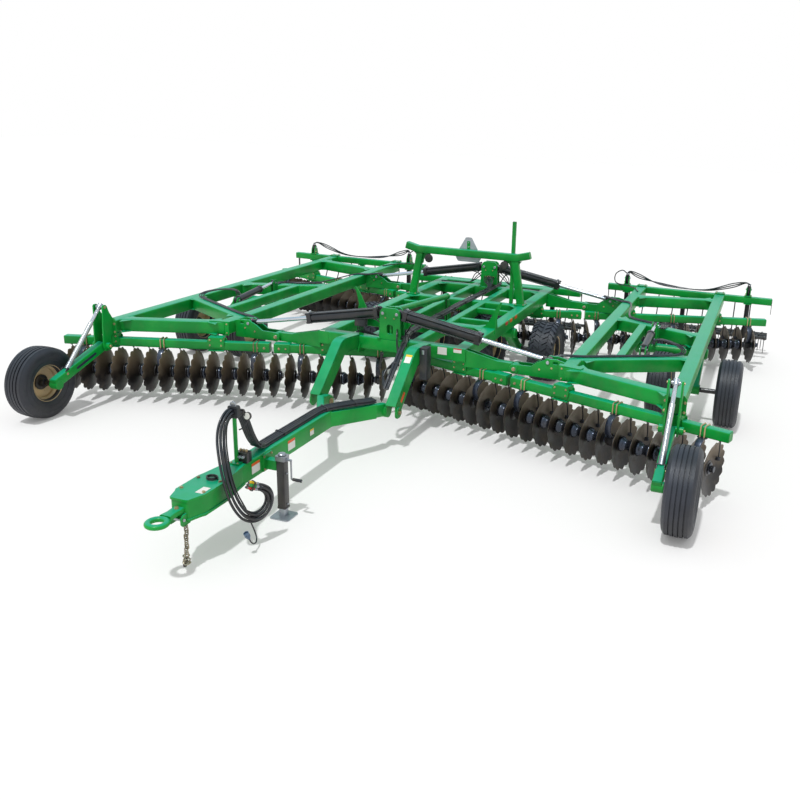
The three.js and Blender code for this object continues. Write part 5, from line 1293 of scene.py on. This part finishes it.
def tongue():
    shape = Shape()
    half, high = BEAM_WIDTH / 2, BEAM_HIGH
    start, end = (0, BEAM_FRONT, TONGUE_Z), (0, BEAM_REAR, TONGUE_Z)
    tube_box(shape, start, end, BEAM_WIDTH - 1, high - BEAM_LOW - 1, GREEN, 16)
    shape.take(yoke_side().both_sides())
    boss_in = LEG_X - LEG_WIDTH / 2 - 95
    pin(shape, (-boss_in, TONGUE_PIN_Y + 2, TONGUE_PIN_Z), -ALONG_X, -2, 3, 30, GOLD, 20)
    tongue_nose(shape)
    safety_chain(shape)
    # Labels on the side of the beam and on the nose.
    for y in (-2837, -2265):
        label(shape, (half + 1, y, TONGUE_Z + 8), ALONG_Y, UP, 120, 96, ORANGE)
    label(shape, (77, -3544, high + 1.4), ALONG_X, ALONG_Y, 66, 110)
    label(shape, (half + 1, -1900, TONGUE_Z), ALONG_Y, UP, 70, 60, YELLOW)
    hose_stand(shape)
    # The small coil of cord on the beam.
    turns = [2 * math.pi * i / 10 for i in range(41)]
    coil = [(15 + 46 * math.cos(a), -3343 + 38 * math.sin(a), high + 7 + i * 0.5) for i,
            a in enumerate(turns)]
    pipe(shape, coil, 5, HOSE, 8, 2)
    # The bracket that carries the jack.
    block(shape, (half - 4, JACK_X - JACK_TUBE / 2 - 0.5), around(JACK_Y, 37),
          (BEAM_LOW + 31, JACK_TOP - 21), GREEN, 5)
    foot = [(JACK_Y + dy, z) for dy,
            z in ((-70, BEAM_LOW + 14), (70, BEAM_LOW + 14), (70, high - 12), (-70, high - 12))]
    plate_along(shape, foot, (half - 1, half + 13))
    bolts(shape, (half + 13,), around(JACK_Y, 54), (BEAM_LOW + 32, high - 30), ALONG_X, 11)
    return shape


def jack():
    outer, inner = Shape(), Shape()
    x, y, half, crank_z = JACK_X, JACK_Y, JACK_TUBE / 2, JACK_TOP - 5
    axis, crank = (x, y, 0), (x, y, crank_z)
    tube_along(outer, axis, UP, JACK_BOTTOM, JACK_TOP - 12, JACK_TUBE - 1, JACK_TUBE - 1, BLACK, 5, ALONG_Y)
    block(outer, around(x, 47), around(y, 47), (JACK_TOP - 14, JACK_TOP + 30), ZINC, 12)
    pin(outer, axis, UP, JACK_TOP + 28, JACK_TOP + 49, 36, ZINC, 28, 6)
    pin(outer, crank, ALONG_X, 30, 95, 10, ZINC, 16, 2)
    pin(outer, crank, ALONG_X, 47, 60, 17, ZINC, 20, 2)
    bends = [(88, 8), (88, -100), (88, -168), (94, -176), (190, -176)]
    pipe(outer, [(x + a, y, crank_z + b) for a, b in bends], 8, ZINC, 12, 3)
    grip = [(11, 0), (15, 4), (14, 20), (15, 45), (14, 70), (15, 86), (10, 90)]
    turn(outer, (x + 100, y, crank_z - 176), ALONG_X, grip, PLASTIC, 20)
    for z in (JACK_BOTTOM + 40, JACK_BOTTOM + 330):
        pin(outer, (x, y, z), ALONG_X, half, half + 10, 9, ZINC, 6, 1)
    block(outer, around(x, half + 4), around(y, half + 4), (JACK_BOTTOM, JACK_BOTTOM + 14), BLACK, 9)
    block(inner, around(x, 31), around(y, 31), (6, JACK_BOTTOM + 200), ZINC, 7)
    outline = rounded(JACK_FOOT, JACK_FOOT, 26, 4)
    plate_flat(inner, moved(outline, x, y), (0.5, 8), ZINC)
    plate_flat(inner, moved(outline, x, y, 0.86), (8, 10), ZINC)
    for way in BOTH:
        rib = moved([(-30, 8), (30, 8), (24, 18), (-24, 18)], y, 0)
        plate_along(inner, rib, (x + way * 32, x + way * 38), ZINC)
    return outer, inner


# ---- Hoses and the lead ------------------------------------------------------------------------

HOSE_ROUTE = [
    (0, -3015.7, 1030), (0, -3050, 1029.5), (3, -3088, 1009), (9, -3126, 974), (20, -3162, 920),
    (40, -3200, 850), (72, -3240, 772), (112, -3278, 690), (152, -3304, 610), (188, -3318, 530),
    (218, -3316, 455), (244, -3298, 385), (266, -3264, 325), (288, -3216, 290), (308, -3166, 283),
    (324, -3122, 302), (334, -3094, 342), (337, -3088, 390), (332, -3104, 434), (318, -3136, 466),
    (298, -3168, 484),
]
HOSE_LOOP = Vector((250, -3200, 410))
HOSE_LANES = [(0, 0), (1, 0), (2, 0), (0.5, -0.9), (1.5, -0.9)]
HOSE_R, HOSE_PITCH, HOSE_FAN, LEAD_R = 11, 25, 0.55, 6
LEAD_ROUTE = [
    (0, -3015.7, 1007), (0, -3046, 1006), (3, -3078, 988), (10, -3108, 958), (24, -3140, 908),
    (46, -3176, 838), (80, -3214, 762), (118, -3250, 682), (156, -3276, 604), (190, -3290, 528),
    (218, -3288, 456), (238, -3270, 392), (250, -3246, 330), (256, -3228, 268), (262, -3214, 214),
    (276, -3204, 162), (298, -3206, 116), (322, -3222, 80), (340, -3252, 62), (350, -3287, 62),
    (354, -3322, 78), (354, -3348, 106), (352, -3366, 140),
]
TONGUE_HOSE_ROUTE = [
    (0, -2964, 1050), (0, -2930, 1049), (5, -2890, 1016), (14, -2848, 930), (24, -2802, 800),
                     (26, -2748, 706),
    (20, -2680, 648), (8, -2600, 627), (0, -2500, 622), (0, -2234, 622), (0, -1840, 622), (4, -1640, 624),
    (36, -1530, 626), (92, -1428, 624), (160, -1318, 620), (224, -1208, 612), (276, -1106, 600),
    (306, -1020, 590),
]
LEG_HOSE_ROUTE = [
    (334, -800, 640), (338, -700, 744), (338, -600, 826), (332, -500, 892), (318, -400, 944),
                  (296, -290, 976),
    (262, -170, 984), (224, -60, 984), (190, 20, 984),
]
FRAME_HOSE_ROUTE = [
    (190, 20, 984), (150, 120, 990), (96, 320, 984), (76, 700, 978), (72, 1100, 978), (84, 1500, 980),
    (80, 2000, 984), (84, 2515, 978), (96, 3000, 980), (110, 3400, 990), (114, 3720, 1000),
]
ROUND_SPOTS = [(-19, -8), (0, -19), (19, -8), (-12, 10), (10, 10), (0, -2), (-24, 9), (24, 9)]
FLAT_SPOTS = [(-52, -18), (-31, -20), (-10, -21), (11, -20), (32, -18), (-40, 0), (-18, -1), (4, 0), (25, 1)]
COUPLER_PAINTS = [YELLOW, ORANGE, YELLOW, RED, GREEN_PLASTIC]
COUPLER = (
    (0, [(12.5, 0), (13.5, 4), (13.5, 22), (11, 26)], 12),
    (24, [(10, 0), (14, 4), (14.5, 30), (13, 34), (14.5, 38), (14, 58), (11, 62)], 16),
    (84, [(9, 0), (10, 2), (10, 9), (7, 11)], 12),
)
PLUG = [(9, 0), (12, 4), (12, 16), (18, 22), (21, 30), (21, 60), (22, 62), (22, 74), (17, 75), (17, 60)]


def lane_route(outward, beside):
    """The hose route, moved so many pitches out of the loop and beside it."""
    route = [Vector(p) for p in HOSE_ROUTE]
    lane = []
    for i, here in enumerate(route):
        before, after = route[max(i - 1, 0)], route[min(i + 1, len(route) - 1)]
        along = -ALONG_Y if i == 0 else (after - before).normalized()
        away = here - HOSE_LOOP
        out = (away - along * away.dot(along)).normalized()
        side = along.cross(out)
        fan = 1 + HOSE_FAN * math.sin(math.pi * i / (len(route) - 1)) ** 2
        lane.append(here + out * outward * HOSE_PITCH * fan + side * beside * HOSE_PITCH)
    return lane


def end_direction(path):
    return (path[-1] - path[-2]).normalized()


def hanging(name, path, radius, node_name):
    """The piece of one hose or lead that hangs from the clamp."""
    shape = Shape()
    sweep(shape, path, circle(radius, 12), HOSE)
    return make_piece(name, shape, "tongue", [node_name], 0, 60)


def coupler_band(shape, routes):
    """The band that holds the couplers of all hoses together."""
    away = end_direction(routes[1])
    bind = routes[1][-1] + away * 44
    side, top = axes(away)[1:]
    lows, highs = [[f((r[-1] - bind).dot(d) for r in routes) for d in (side, top)] for f in (min, max)]
    width, height = [high - low + 34 for low, high in zip(lows, highs)]
    middle = bind + side * ((lows[0] + highs[0]) / 2) + top * ((lows[1] + highs[1]) / 2)
    outside, inside = rounded(width, height, 16, 4), rounded(width - 6, height - 6, 13, 4)
    rings = [placed(outline, middle + away * place, side, top)
             for outline, place in ((outside, 0), (outside, 14), (inside, 14), (inside, 0))]
    skin(shape, rings, BLACK, True)


def build_cords():
    """The five hoses with their couplers, and the lead with its plug, all hanging from the clamp."""
    routes = [lane_route(*lane) for lane in HOSE_LANES]
    ends, hoses = Shape(), []
    for i, route in enumerate(routes):
        path = smooth_path(route)
        hoses.append((hanging(f"hose_{i + 1}_rubber", path, HOSE_R, f"hose_{i + 1}"), path))
        along = end_direction(path)
        for (place, profile, sides), paint in zip(COUPLER, (ZINC, COUPLER_PAINTS[i], ZINC)):
            turn(ends, path[-1] + along * (place + 0.6), along, profile, paint, sides)
    coupler_band(ends, routes)
    couplers = make_piece("hose_couplers_looks", ends, "tongue", ["hose_couplers"], 0, 40)
    path = smooth_path(LEAD_ROUTE)
    cable = hanging("lead_cable", path, LEAD_R, "lead")
    along, first, second = axes(end_direction(path))
    start = path[-1] + along * 0.6
    plug = Shape()
    turn(plug, start, along, PLUG, BLUE)
    for spot in placed(circle(20.5, 12), start, first, second):
        pin(plug, spot, along, 30, 56, 1.8, BLUE, 6)
    plug_piece = make_piece("lead_plug_body", plug, "tongue", ["lead_plug"], 0, 40)


def bundle(shape, route, spots, radius, ties):
    """Hoses held together along a route, each at its own place around the middle, with dark ties."""
    path = smooth_path(route)
    frames = path_frames(path)
    for a, b in spots:
        rings = [placed(circle(radius, 8), here + side * a + top * b, side, top) for here, side,
                 top in frames]
        skin(shape, rings, HOSE)
    (left, right), (low, high) = [(min(places), max(places)) for places in zip(*spots)]
    outline = rounded(right - left + 2 * radius + 3, high - low + 2 * radius + 3, radius + 1)
    outline = moved(outline, (left + right) / 2, (low + high) / 2)
    for share in ties:
        i = min(int(share * (len(path) - 1)), len(path) - 2)
        here, side, top = frames[i]
        along = (path[i + 1] - path[i]).normalized()
        skin(shape, [placed(outline, here + along * a, side, top) for a in (-6, 6)], PLASTIC)


def build_tongue():
    make_piece("tongue_steel", tongue(), "tongue", ["tongue"], 1.8)
    outer, inner = jack()
    make_piece("jack_tube_steel", outer, "tongue", ["jack_tube"], 1.2)
    make_piece("jack_leg_steel", inner, "jack_leg", ["jack_leg"], 1.0)
    build_cords()
    for name, body, *bundled in (
            ("tongue_hoses", "tongue", TONGUE_HOSE_ROUTE, FLAT_SPOTS, 9.5, (0.1, 0.34, 0.52, 0.7, 0.86)),
            ("leg_hoses", "centre", LEG_HOSE_ROUTE, ROUND_SPOTS, 9, (0.3, 0.7))):
        carried = Shape()
        bundle(carried, *bundled)
        make_piece(name + "_rubber", carried, body, [name], 0, 60)


# ---- Harrows -----------------------------------------------------------------------------------

TINE = [(-14, 30), (10, 34), (34, 12), (26, -40), (-4, -120), (-6, -170), (20, -225), (34, -246)]
SPRING_ARM = [(12, -12), (66, -44), (88, -130), (50, -250), (-16, -370), (-62, -480)]


def tine(shape, x, y, z):
    """A spring tine: coiled around its bar, then curved back and down."""
    pipe(shape, [(x, y + a, z + b) for a, b in TINE], 5.5, BLACK, 6, 2)
    pin(shape, (x, y, z), ALONG_X, -16, 16, 31, BLACK, 14, 3)


def harrow(left, right, y, arms):
    """Three tine bars below a toolbar, with their hanger arms and spring arms."""
    shape = Shape()
    bars = [(y + behind, HARROW_BAR_Z - row * HARROW_BAR_DROP) for row, behind in enumerate(HARROW_BARS)]
    for row, (bar_y, bar_z) in enumerate(bars):
        rod(shape, (left, bar_y, bar_z), (right, bar_y, bar_z), HARROW_BAR_R - 1, BLACK, 16, 3)
        for i in range(int((right - left - 60) / TINE_SPACING) + 1):
            at = left + 30 + TINE_STAGGER * row + i * TINE_SPACING
            if at < right - 20:
                tine(shape, at, bar_y, bar_z)
    (near_y, near_z), (far_y, far_z) = bars[0], bars[-1]
    link = [(near_y - 30, near_z - 30), (far_y + 30, far_z - 30), (far_y + 30, far_z + 30),
            (near_y - 30, near_z + 30)]
    brace = [(y - 30, 470), (y + 40, 460), (y + 250, 350), (y + 250, 322), (y - 30, 400)]
    for at in arms:
        plate_along(shape, link, around(at, 9), BLACK)
        block(shape, around(at, 34), around(y, 34), (HARROW_BAR_Z - 20, HARROW_BOTTOM - 0.5), BLACK, 8)
        block(shape, around(at, 60), around(y, 56), (HARROW_BOTTOM - 14, HARROW_BOTTOM - 1), GREEN, 6)
        for way in BOTH:
            plate_along(shape, brace, (at + way * 34, at + way * 42), BLACK)
            bolt(shape, (at + way * 42, y, 430), ALONG_X * way, 11)
    # A black bar behind the toolbar, with the spring arms that press the first tine bar down.
    back, high = y + 70, 898
    rod(shape, (left, back, high), (right, back, high), 21, BLACK, 14, 3)
    for x in (left - 8, right):
        plate_along(shape, moved(symmetric([(24, 28), (20, -200)]), back, high), (x, x + 8), BLACK)
    for i in range(int((right - left - 160) / SPRING_ARM_SPACING) + 1):
        at = left + 90 + i * SPRING_ARM_SPACING
        path = [(at, back + a, high + b) for a, b in SPRING_ARM] + [(at, y, HARROW_BAR_Z + 20)]
        pipe(shape, path, 9, BLACK)
    return shape


def harrow_post(shape, x, y):
    """A bracket above a toolbar with a small lift cylinder and its fittings."""
    cheek = [(-60, HARROW_TOP + 10), (60, HARROW_TOP + 10), (52, 1030), (20, 1096), (-18, 1096), (-50, 1040)]
    for dx in (-34, 24):
        plate_along(shape, moved(cheek, y, 0), (x + dx, x + dx + 10))
    pin(shape, (x, y, 1064), ALONG_X, -46, 46, 14, ZINC, 14, 2)
    pin(shape, (x, y, 0), UP, HARROW_TOP + 16, 1052, 24, BLACK, 18, 3)
    block(shape, around(x, 26), (y - 30, y + 22), (1052, 1116), BLACK, 8)
    for dx in (-14, 14):
        pin(shape, (x + dx, y - 4, 0), UP, 1114, 1140, 9, ZINC, 6, 2)
    bolt(shape, (x - 34, y - 30, 1000), -ALONG_X, 12)
    tube_along(shape, (x, y, HARROW_TOP + 7), ALONG_Y, -54, 54, 110, 13, GREEN, 4)
    bolts(shape, around(x, 42), around(y, 38), (HARROW_TOP + 13,), UP, 10)


def build_harrows():
    wing = harrow(*WING_HARROW_X, WING_HARROW_Y, WING_HARROW_ARMS)
    side_pieces("harrow", "steel", wing, 0, 45)
    half, y, z = CENTRE_HARROW_HALF, CENTRE_HARROW_Y, HARROW_TOP - SLIM_TUBE / 2
    centre = harrow(-half, half, y, CENTRE_HARROW_ARMS)
    toolbar = (0, y + 0.5, z - 2)
    tube_along(centre, toolbar, ALONG_X, -half, half, SLIM_TUBE - 2, SLIM_TUBE + 3, GREEN, 12)
    for x in (-CENTRE_RAIL_X, CENTRE_RAIL_X):
        bolts(centre, around(x, 50), (y + 30,), (HARROW_TOP,), UP, 11)
    centre_piece("harrow_centre", centre, 0, 45)


# ---- Hoses, lamps' leads and small fittings on the frames --------------------------------------


def frame_hoses():
    """The hoses along the centre frame, its junction box and the valve block at its rear."""
    shape = Shape()
    y0 = CENTRE_CROSS_TUBES[0]
    bundle(shape, FRAME_HOSE_ROUTE, FLAT_SPOTS, 9, [0.05 + 0.085 * i for i in range(11)])
    block(shape, (-458, -317), (y0 - 60, y0 + 6), (1062, 1156), PLASTIC, 8)
    block(shape, (-446, -329), (y0 - 66, y0 - 58), (1072, 1146), PLASTIC, 6)
    tube_along(shape, (-388, y0 - 20, 0), UP, FRAME_TOP, 1064, 60, 8, GREEN, 2, ALONG_Y)
    for i in range(5):
        x = -430 + i * 21
        pipe(shape, [(x, y0 - 30, 1062), (x + 4, y0 - 44, 1030), (x + 30 + 12 * i, y0 - 30, 990 + 3 * i),
                     (-180 + 10 * i, y0 - 10, 966), (10 + 8 * i, y0 + 30, 968), (60 + 5 * i, y0 + 130, 972)],
             5, HOSE, 6)
    block(shape, (-70, 92), (3540, 3620), (1072, 1144), ZINC, 6)
    tube_along(shape, (11, 3580, 0), UP, FRAME_TOP, 1074, 60, 60, GREEN, 5, ALONG_Y)
    for i in range(6):
        x, way = -56 + i * 27, 1 if i % 2 else -1
        pin(shape, (x, 3541, 1108), -ALONG_Y, 0, 27, 11, GOLD, 6, 2)
        pin(shape, (x, 3580, 1143), UP, 0, 25, 10, GOLD, 6, 2)
        lift = 16 * random.random()
        pipe(shape, [(x, 3514, 1108), (x + 4, 3470, 1108 + lift), (x + 20, 3400, 1064 + lift),
                     (64 + 9 * i, 3300, 1012), (66 + 9 * i, 3180, 986)], 7)
        pipe(shape, [(x, 3580, 1166), (x, 3584, 1200 + lift), (x + way * 60, 3596, 1206 + lift),
                     (x + way * 200, 3600, 1110), (way * 330, 3604, 986), (way * (520 + 20 * i), 3600, 968),
                     (way * 790, 3590 - 8 * i, 970)], 7)
    # The hoses of the front and rear cylinders.
    for sign, dy in product(BOTH, (-10, 14)):
        pipe(shape, [(sign * 60, 300, 975), (sign * 84, 240, 1010), (sign * 70, 160, 1120),
                     (sign * 92, 110 + dy, 1220), (sign * 150, 76 + dy, 1300), (sign * 200, 62 + dy, 1306)],
             8, steps=5)
    for y, sign in product((HINGE_FRONT_Y, HINGE_REAR_Y), BOTH):
        pipe(shape, [(sign * 95, y + 84, 965), (sign * 150, y + 100, 1030), (sign * 210, y + 80, 1120),
                     (sign * 290, y + 60, 1150), (sign * 400, y + 50, 1160)], 8, steps=5)
    # Loose hoses between the mast and the left leg, and beside the bundle on that leg.
    for off in range(0, 96, 24):
        pipe(shape,
             [(86, 30, 1090 - off), (112, -50, 1060 - off), (150, -120, 950 - off), (210, -170, 872 - off),
                     (280, -200, 856 - off / 2), (345, -215, 880 - off / 3), (390, -222 - off / 2, 915)], 8)
        pipe(shape, [(322 + off / 4, -792, 648), (262 - off / 2, -730 + off, 690 + off),
                     (250 - off / 4, -640 + off, 780), (296, -560 + off, 858 - off / 2),
                     (326, -470 + off, 900)], 8)
    # The screw link between the legs, above the tongue's yoke.
    link = [(14, 0), (20, 4), (20, 60), (13, 64), (13, 150), (22, 154), (22, 196), (14, 200)]
    turn(shape, (-94, -58, 612), (25, 0, 195), link, BLACK, 18)
    return shape


def wing_hoses():
    """The hoses, the harrow's lift posts and the blank label on the left wing."""
    shape = Shape()
    for off in range(0, 84, 21):
        pipe(shape, [(1780, 3540 - off, 1000), (2010, 3500 - off, 965), (2200, 3400 - off, 962),
                     (2300, 2700 - off, 962), (2380, 2480 - off, 964), (2600, 2350 - off, 964),
                     (2790 + off, 2250, 962), (2790 + off, 2020, 966)], 8)
    for off in range(0, 63, 21):
        pipe(shape,
             [(1740, 130 + off, 900), (1960, 170 + off, 966), (2200, 270 + off, 963), (2700, 545 + off, 963),
                     (3090, 760 + off, 966), (3230 - off, 850 + off, 982), (3200 - off, 985 - off / 2, 1016),
                     (3020, 1120 - off, 1042), (2880, 1200 - off, 1026), (2806 + off, 1190 - off, 968)], 8)
    for i in range(3):
        off, sag = i * 16, i * 34
        pipe(shape,
             [(3742 + off, 4822, 1136), (3690, 4826 + off, 1164 - sag / 4), (3500, 4840 + off, 1126 - sag),
                     (3157, 4850 + off, 1000 - sag / 3), (2800, 4850 + off, 976),
                     (2400, 4850 + off, 1004 + sag / 4),
                     (2080, 4846 + off, 1132 - sag), (1930, 4836, 1170 - sag / 3), (1884 + off, 4822, 1136)],
             8.5, steps=5)
    pipe(shape,
         [(1876, 4822, 1136), (1800, 4826, 1176), (1700, 4850, 1110), (1690, 4840, 1010), (1760, 4790, 962),
                 (2030, 4600, 960), (2150, 4300, 962)], 8.5, steps=5)
    for x in HARROW_POSTS:
        harrow_post(shape, x, WING_HARROW_Y)
    label(shape, (2620, -366, TUBE_Z + 8), (1200, -450, 0), UP, 120, 70)
    return shape


def labels():
    """Blank labels and reflectors on the centre frame."""
    shape = Shape()
    for middle, width, height, header in (((650, -2, 902), 110, 84, None), ((834, -2, 926), 96, 50, RED),
                                          ((-874, 8, 940), 60, 40, None)):
        label(shape, middle, ALONG_X, UP, width, height, header)
    up_leg, off_leg = Vector((0, 0.734, 0.679)), Vector((0, -0.679, 0.734))
    label(shape, (LEG_X + 6, -500, 911), ALONG_X, up_leg, 72, 104, YELLOW)
    place = (LEG_X + LEG_WIDTH / 2 + 1, -752, 560)
    plate(shape, rounded(120, 44, 4, 2), place, up_leg, off_leg, 3, ORANGE)
    for y, paint in ((1513, RED), (1700, ORANGE), (1913, ORANGE)):
        plate(shape, rounded(96, 40, 5, 2), (CENTRE_RAIL_X + TUBE / 2 + 2, y, 925), ALONG_Y, UP, 5, paint)
    return shape


def build_fittings():
    make_piece("frame_hoses_rubber", frame_hoses(), "centre", (), 0, 45)
    side_pieces("wing_hoses", "rubber", wing_hoses(), 0, 45, stands=False)
    make_piece("frame_labels", labels(), "centre", (), 0, 45)
    box = Shape()
    outer = LEG_X + LEG_WIDTH / 2
    block(box, (outer + 1, outer + 94), (-329, -201), (640, 962), PLASTIC, 16)
    block(box, (outer + 0.5, outer + 95), (-330, -200), (962, 999), PLASTIC, 18)
    block(box, (outer + 34, outer + 62), (-336, -326), (930, 978), ZINC, 3)
    make_piece("manual_box_shell", box, "centre", ["manual_box"], 2.0)


def build_frames():
    centre_piece("centre_frame", centre_frame(), 1.8)
    side_pieces("wing_frame", "steel", wing_frame(), 1.8)
    centre_piece("front_mast", front_mast(), 1.8)
    centre_piece("rear_mast", mast(HINGE_REAR_Y, REAR_MAST_TOP), 1.8)
    centre_piece("wing_rest", wing_rest(), 1.8)
    side_pieces("gauge_arm", "steel", gauge_arm(), 1.5)


# ---- Camera, floor and light -------------------------------------------------------------------

CAMERA_PLACE = (4.001, -9.150, 3.459)
CAMERA_AXES = ((0.9439, 0.3280, 0.0378), (0.1313, -0.2677, -0.9545), (-0.3029, 0.9060, -0.2957))
LENS, SENSOR_WIDTH, SHIFT = 37.99, 36, (-0.104, -0.030)
FLOOR_HALF, FLOOR_Z, FLOOR_GREY, FLOOR_GLOW = 60, -0.002, 0.82, 0.12
SKY_BLUE, SKY_FILL, SKY_SEEN = (0.62, 0.86, 1, 1), 0.62, 1.0
SUN_STRENGTH, SUN_WIDTH, SUN_DIRECTION = 1.75, 2.5, (0.05, 0.41, -1)
PLAIN_WHITE = (1, 1, 1, 1)
SEEN_BY = ("Is Camera Ray", "Is Glossy Ray", "Is Transmission Ray")


def place_object(name, data):
    made = bpy.data.objects.new(name, data)
    bpy.context.scene.collection.objects.link(made)
    return made


def seen_directly(tree, operation, clamp=False):
    """One for rays from the camera, in mirrors or through glass, and nought for scattered ones."""
    rays = node(tree, "LightPath")
    camera_ray, glossy, through = [rays.outputs[name] for name in SEEN_BY]
    seen = calculate(tree, operation, camera_ray, glossy, clamp=clamp)
    return rays, calculate(tree, operation, seen, through, clamp=clamp)


def build_camera():
    data = bpy.data.cameras.new("camera")
    data.lens = LENS
    data.sensor_width = SENSOR_WIDTH
    data.shift_x, data.shift_y = SHIFT
    data.clip_end = 200
    camera = place_object("camera", data)
    right, down, ahead = (Vector(v) for v in CAMERA_AXES)
    turned = Matrix((right, -down, -ahead)).transposed().to_quaternion().to_matrix().to_4x4()
    turned.translation = Vector(CAMERA_PLACE)
    camera.matrix_world = turned
    bpy.context.scene.camera = camera


def build_floor():
    material = bpy.data.materials.new("floor")
    material.use_nodes = True
    tree = material.node_tree
    glow = multiply(tree, seen_directly(tree, "ADD", clamp=True)[1], FLOOR_GLOW)
    for name, value in (("Base Color", (FLOOR_GREY, FLOOR_GREY, FLOOR_GREY, 1)), ("Roughness", 1.0),
                        ("Specular IOR Level", 0.0), ("Emission Strength", glow),
                        ("Emission Color", PLAIN_WHITE)):
        feed(tree, tree.nodes["Principled BSDF"].inputs[name], value)
    mesh = bpy.data.meshes.new("floor")
    corners = [(a * FLOOR_HALF, b * FLOOR_HALF, FLOOR_Z) for a, b in ((-1, -1), (1, -1), (1, 1), (-1, 1))]
    mesh.from_pydata(corners, [], [(0, 1, 2, 3)])
    mesh.materials.append(material)
    place_object("floor", mesh)


def build_light():
    world = bpy.data.worlds.new("world")
    bpy.context.scene.world = world
    world.use_nodes = True
    tree = world.node_tree
    height = node(tree, "SeparateXYZ", Vector=node(tree, "TexCoord").outputs["Generated"]).outputs["Z"]
    sky = blend_colours(tree, ramp(tree, height, 0.05, 0.9), PLAIN_WHITE, SKY_BLUE)
    rays, seen = seen_directly(tree, "MAXIMUM")
    shade = blend_colours(tree, rays.outputs["Is Glossy Ray"], PLAIN_WHITE, sky)
    background = tree.nodes["Background"]
    feed(tree, background.inputs["Color"], shade)
    feed(tree, background.inputs["Strength"], ramp(tree, seen, 0, 1, SKY_FILL, SKY_SEEN))
    sun = bpy.data.lights.new("sun", "SUN")
    sun.energy = SUN_STRENGTH
    sun.angle = math.radians(SUN_WIDTH)
    lamp = place_object("sun", sun)
    lamp.rotation_mode = "QUATERNION"
    lamp.rotation_quaternion = Vector(SUN_DIRECTION).to_track_quat("-Z", "Y")


build_camera()
build_tongue()
build_frames()
build_gangs()
build_fold_cylinders()
build_wheels()
build_rockshafts()
build_harrows()
build_fittings()
build_floor()
build_light()
bpy.context.scene.view_settings.view_transform = "Standard"
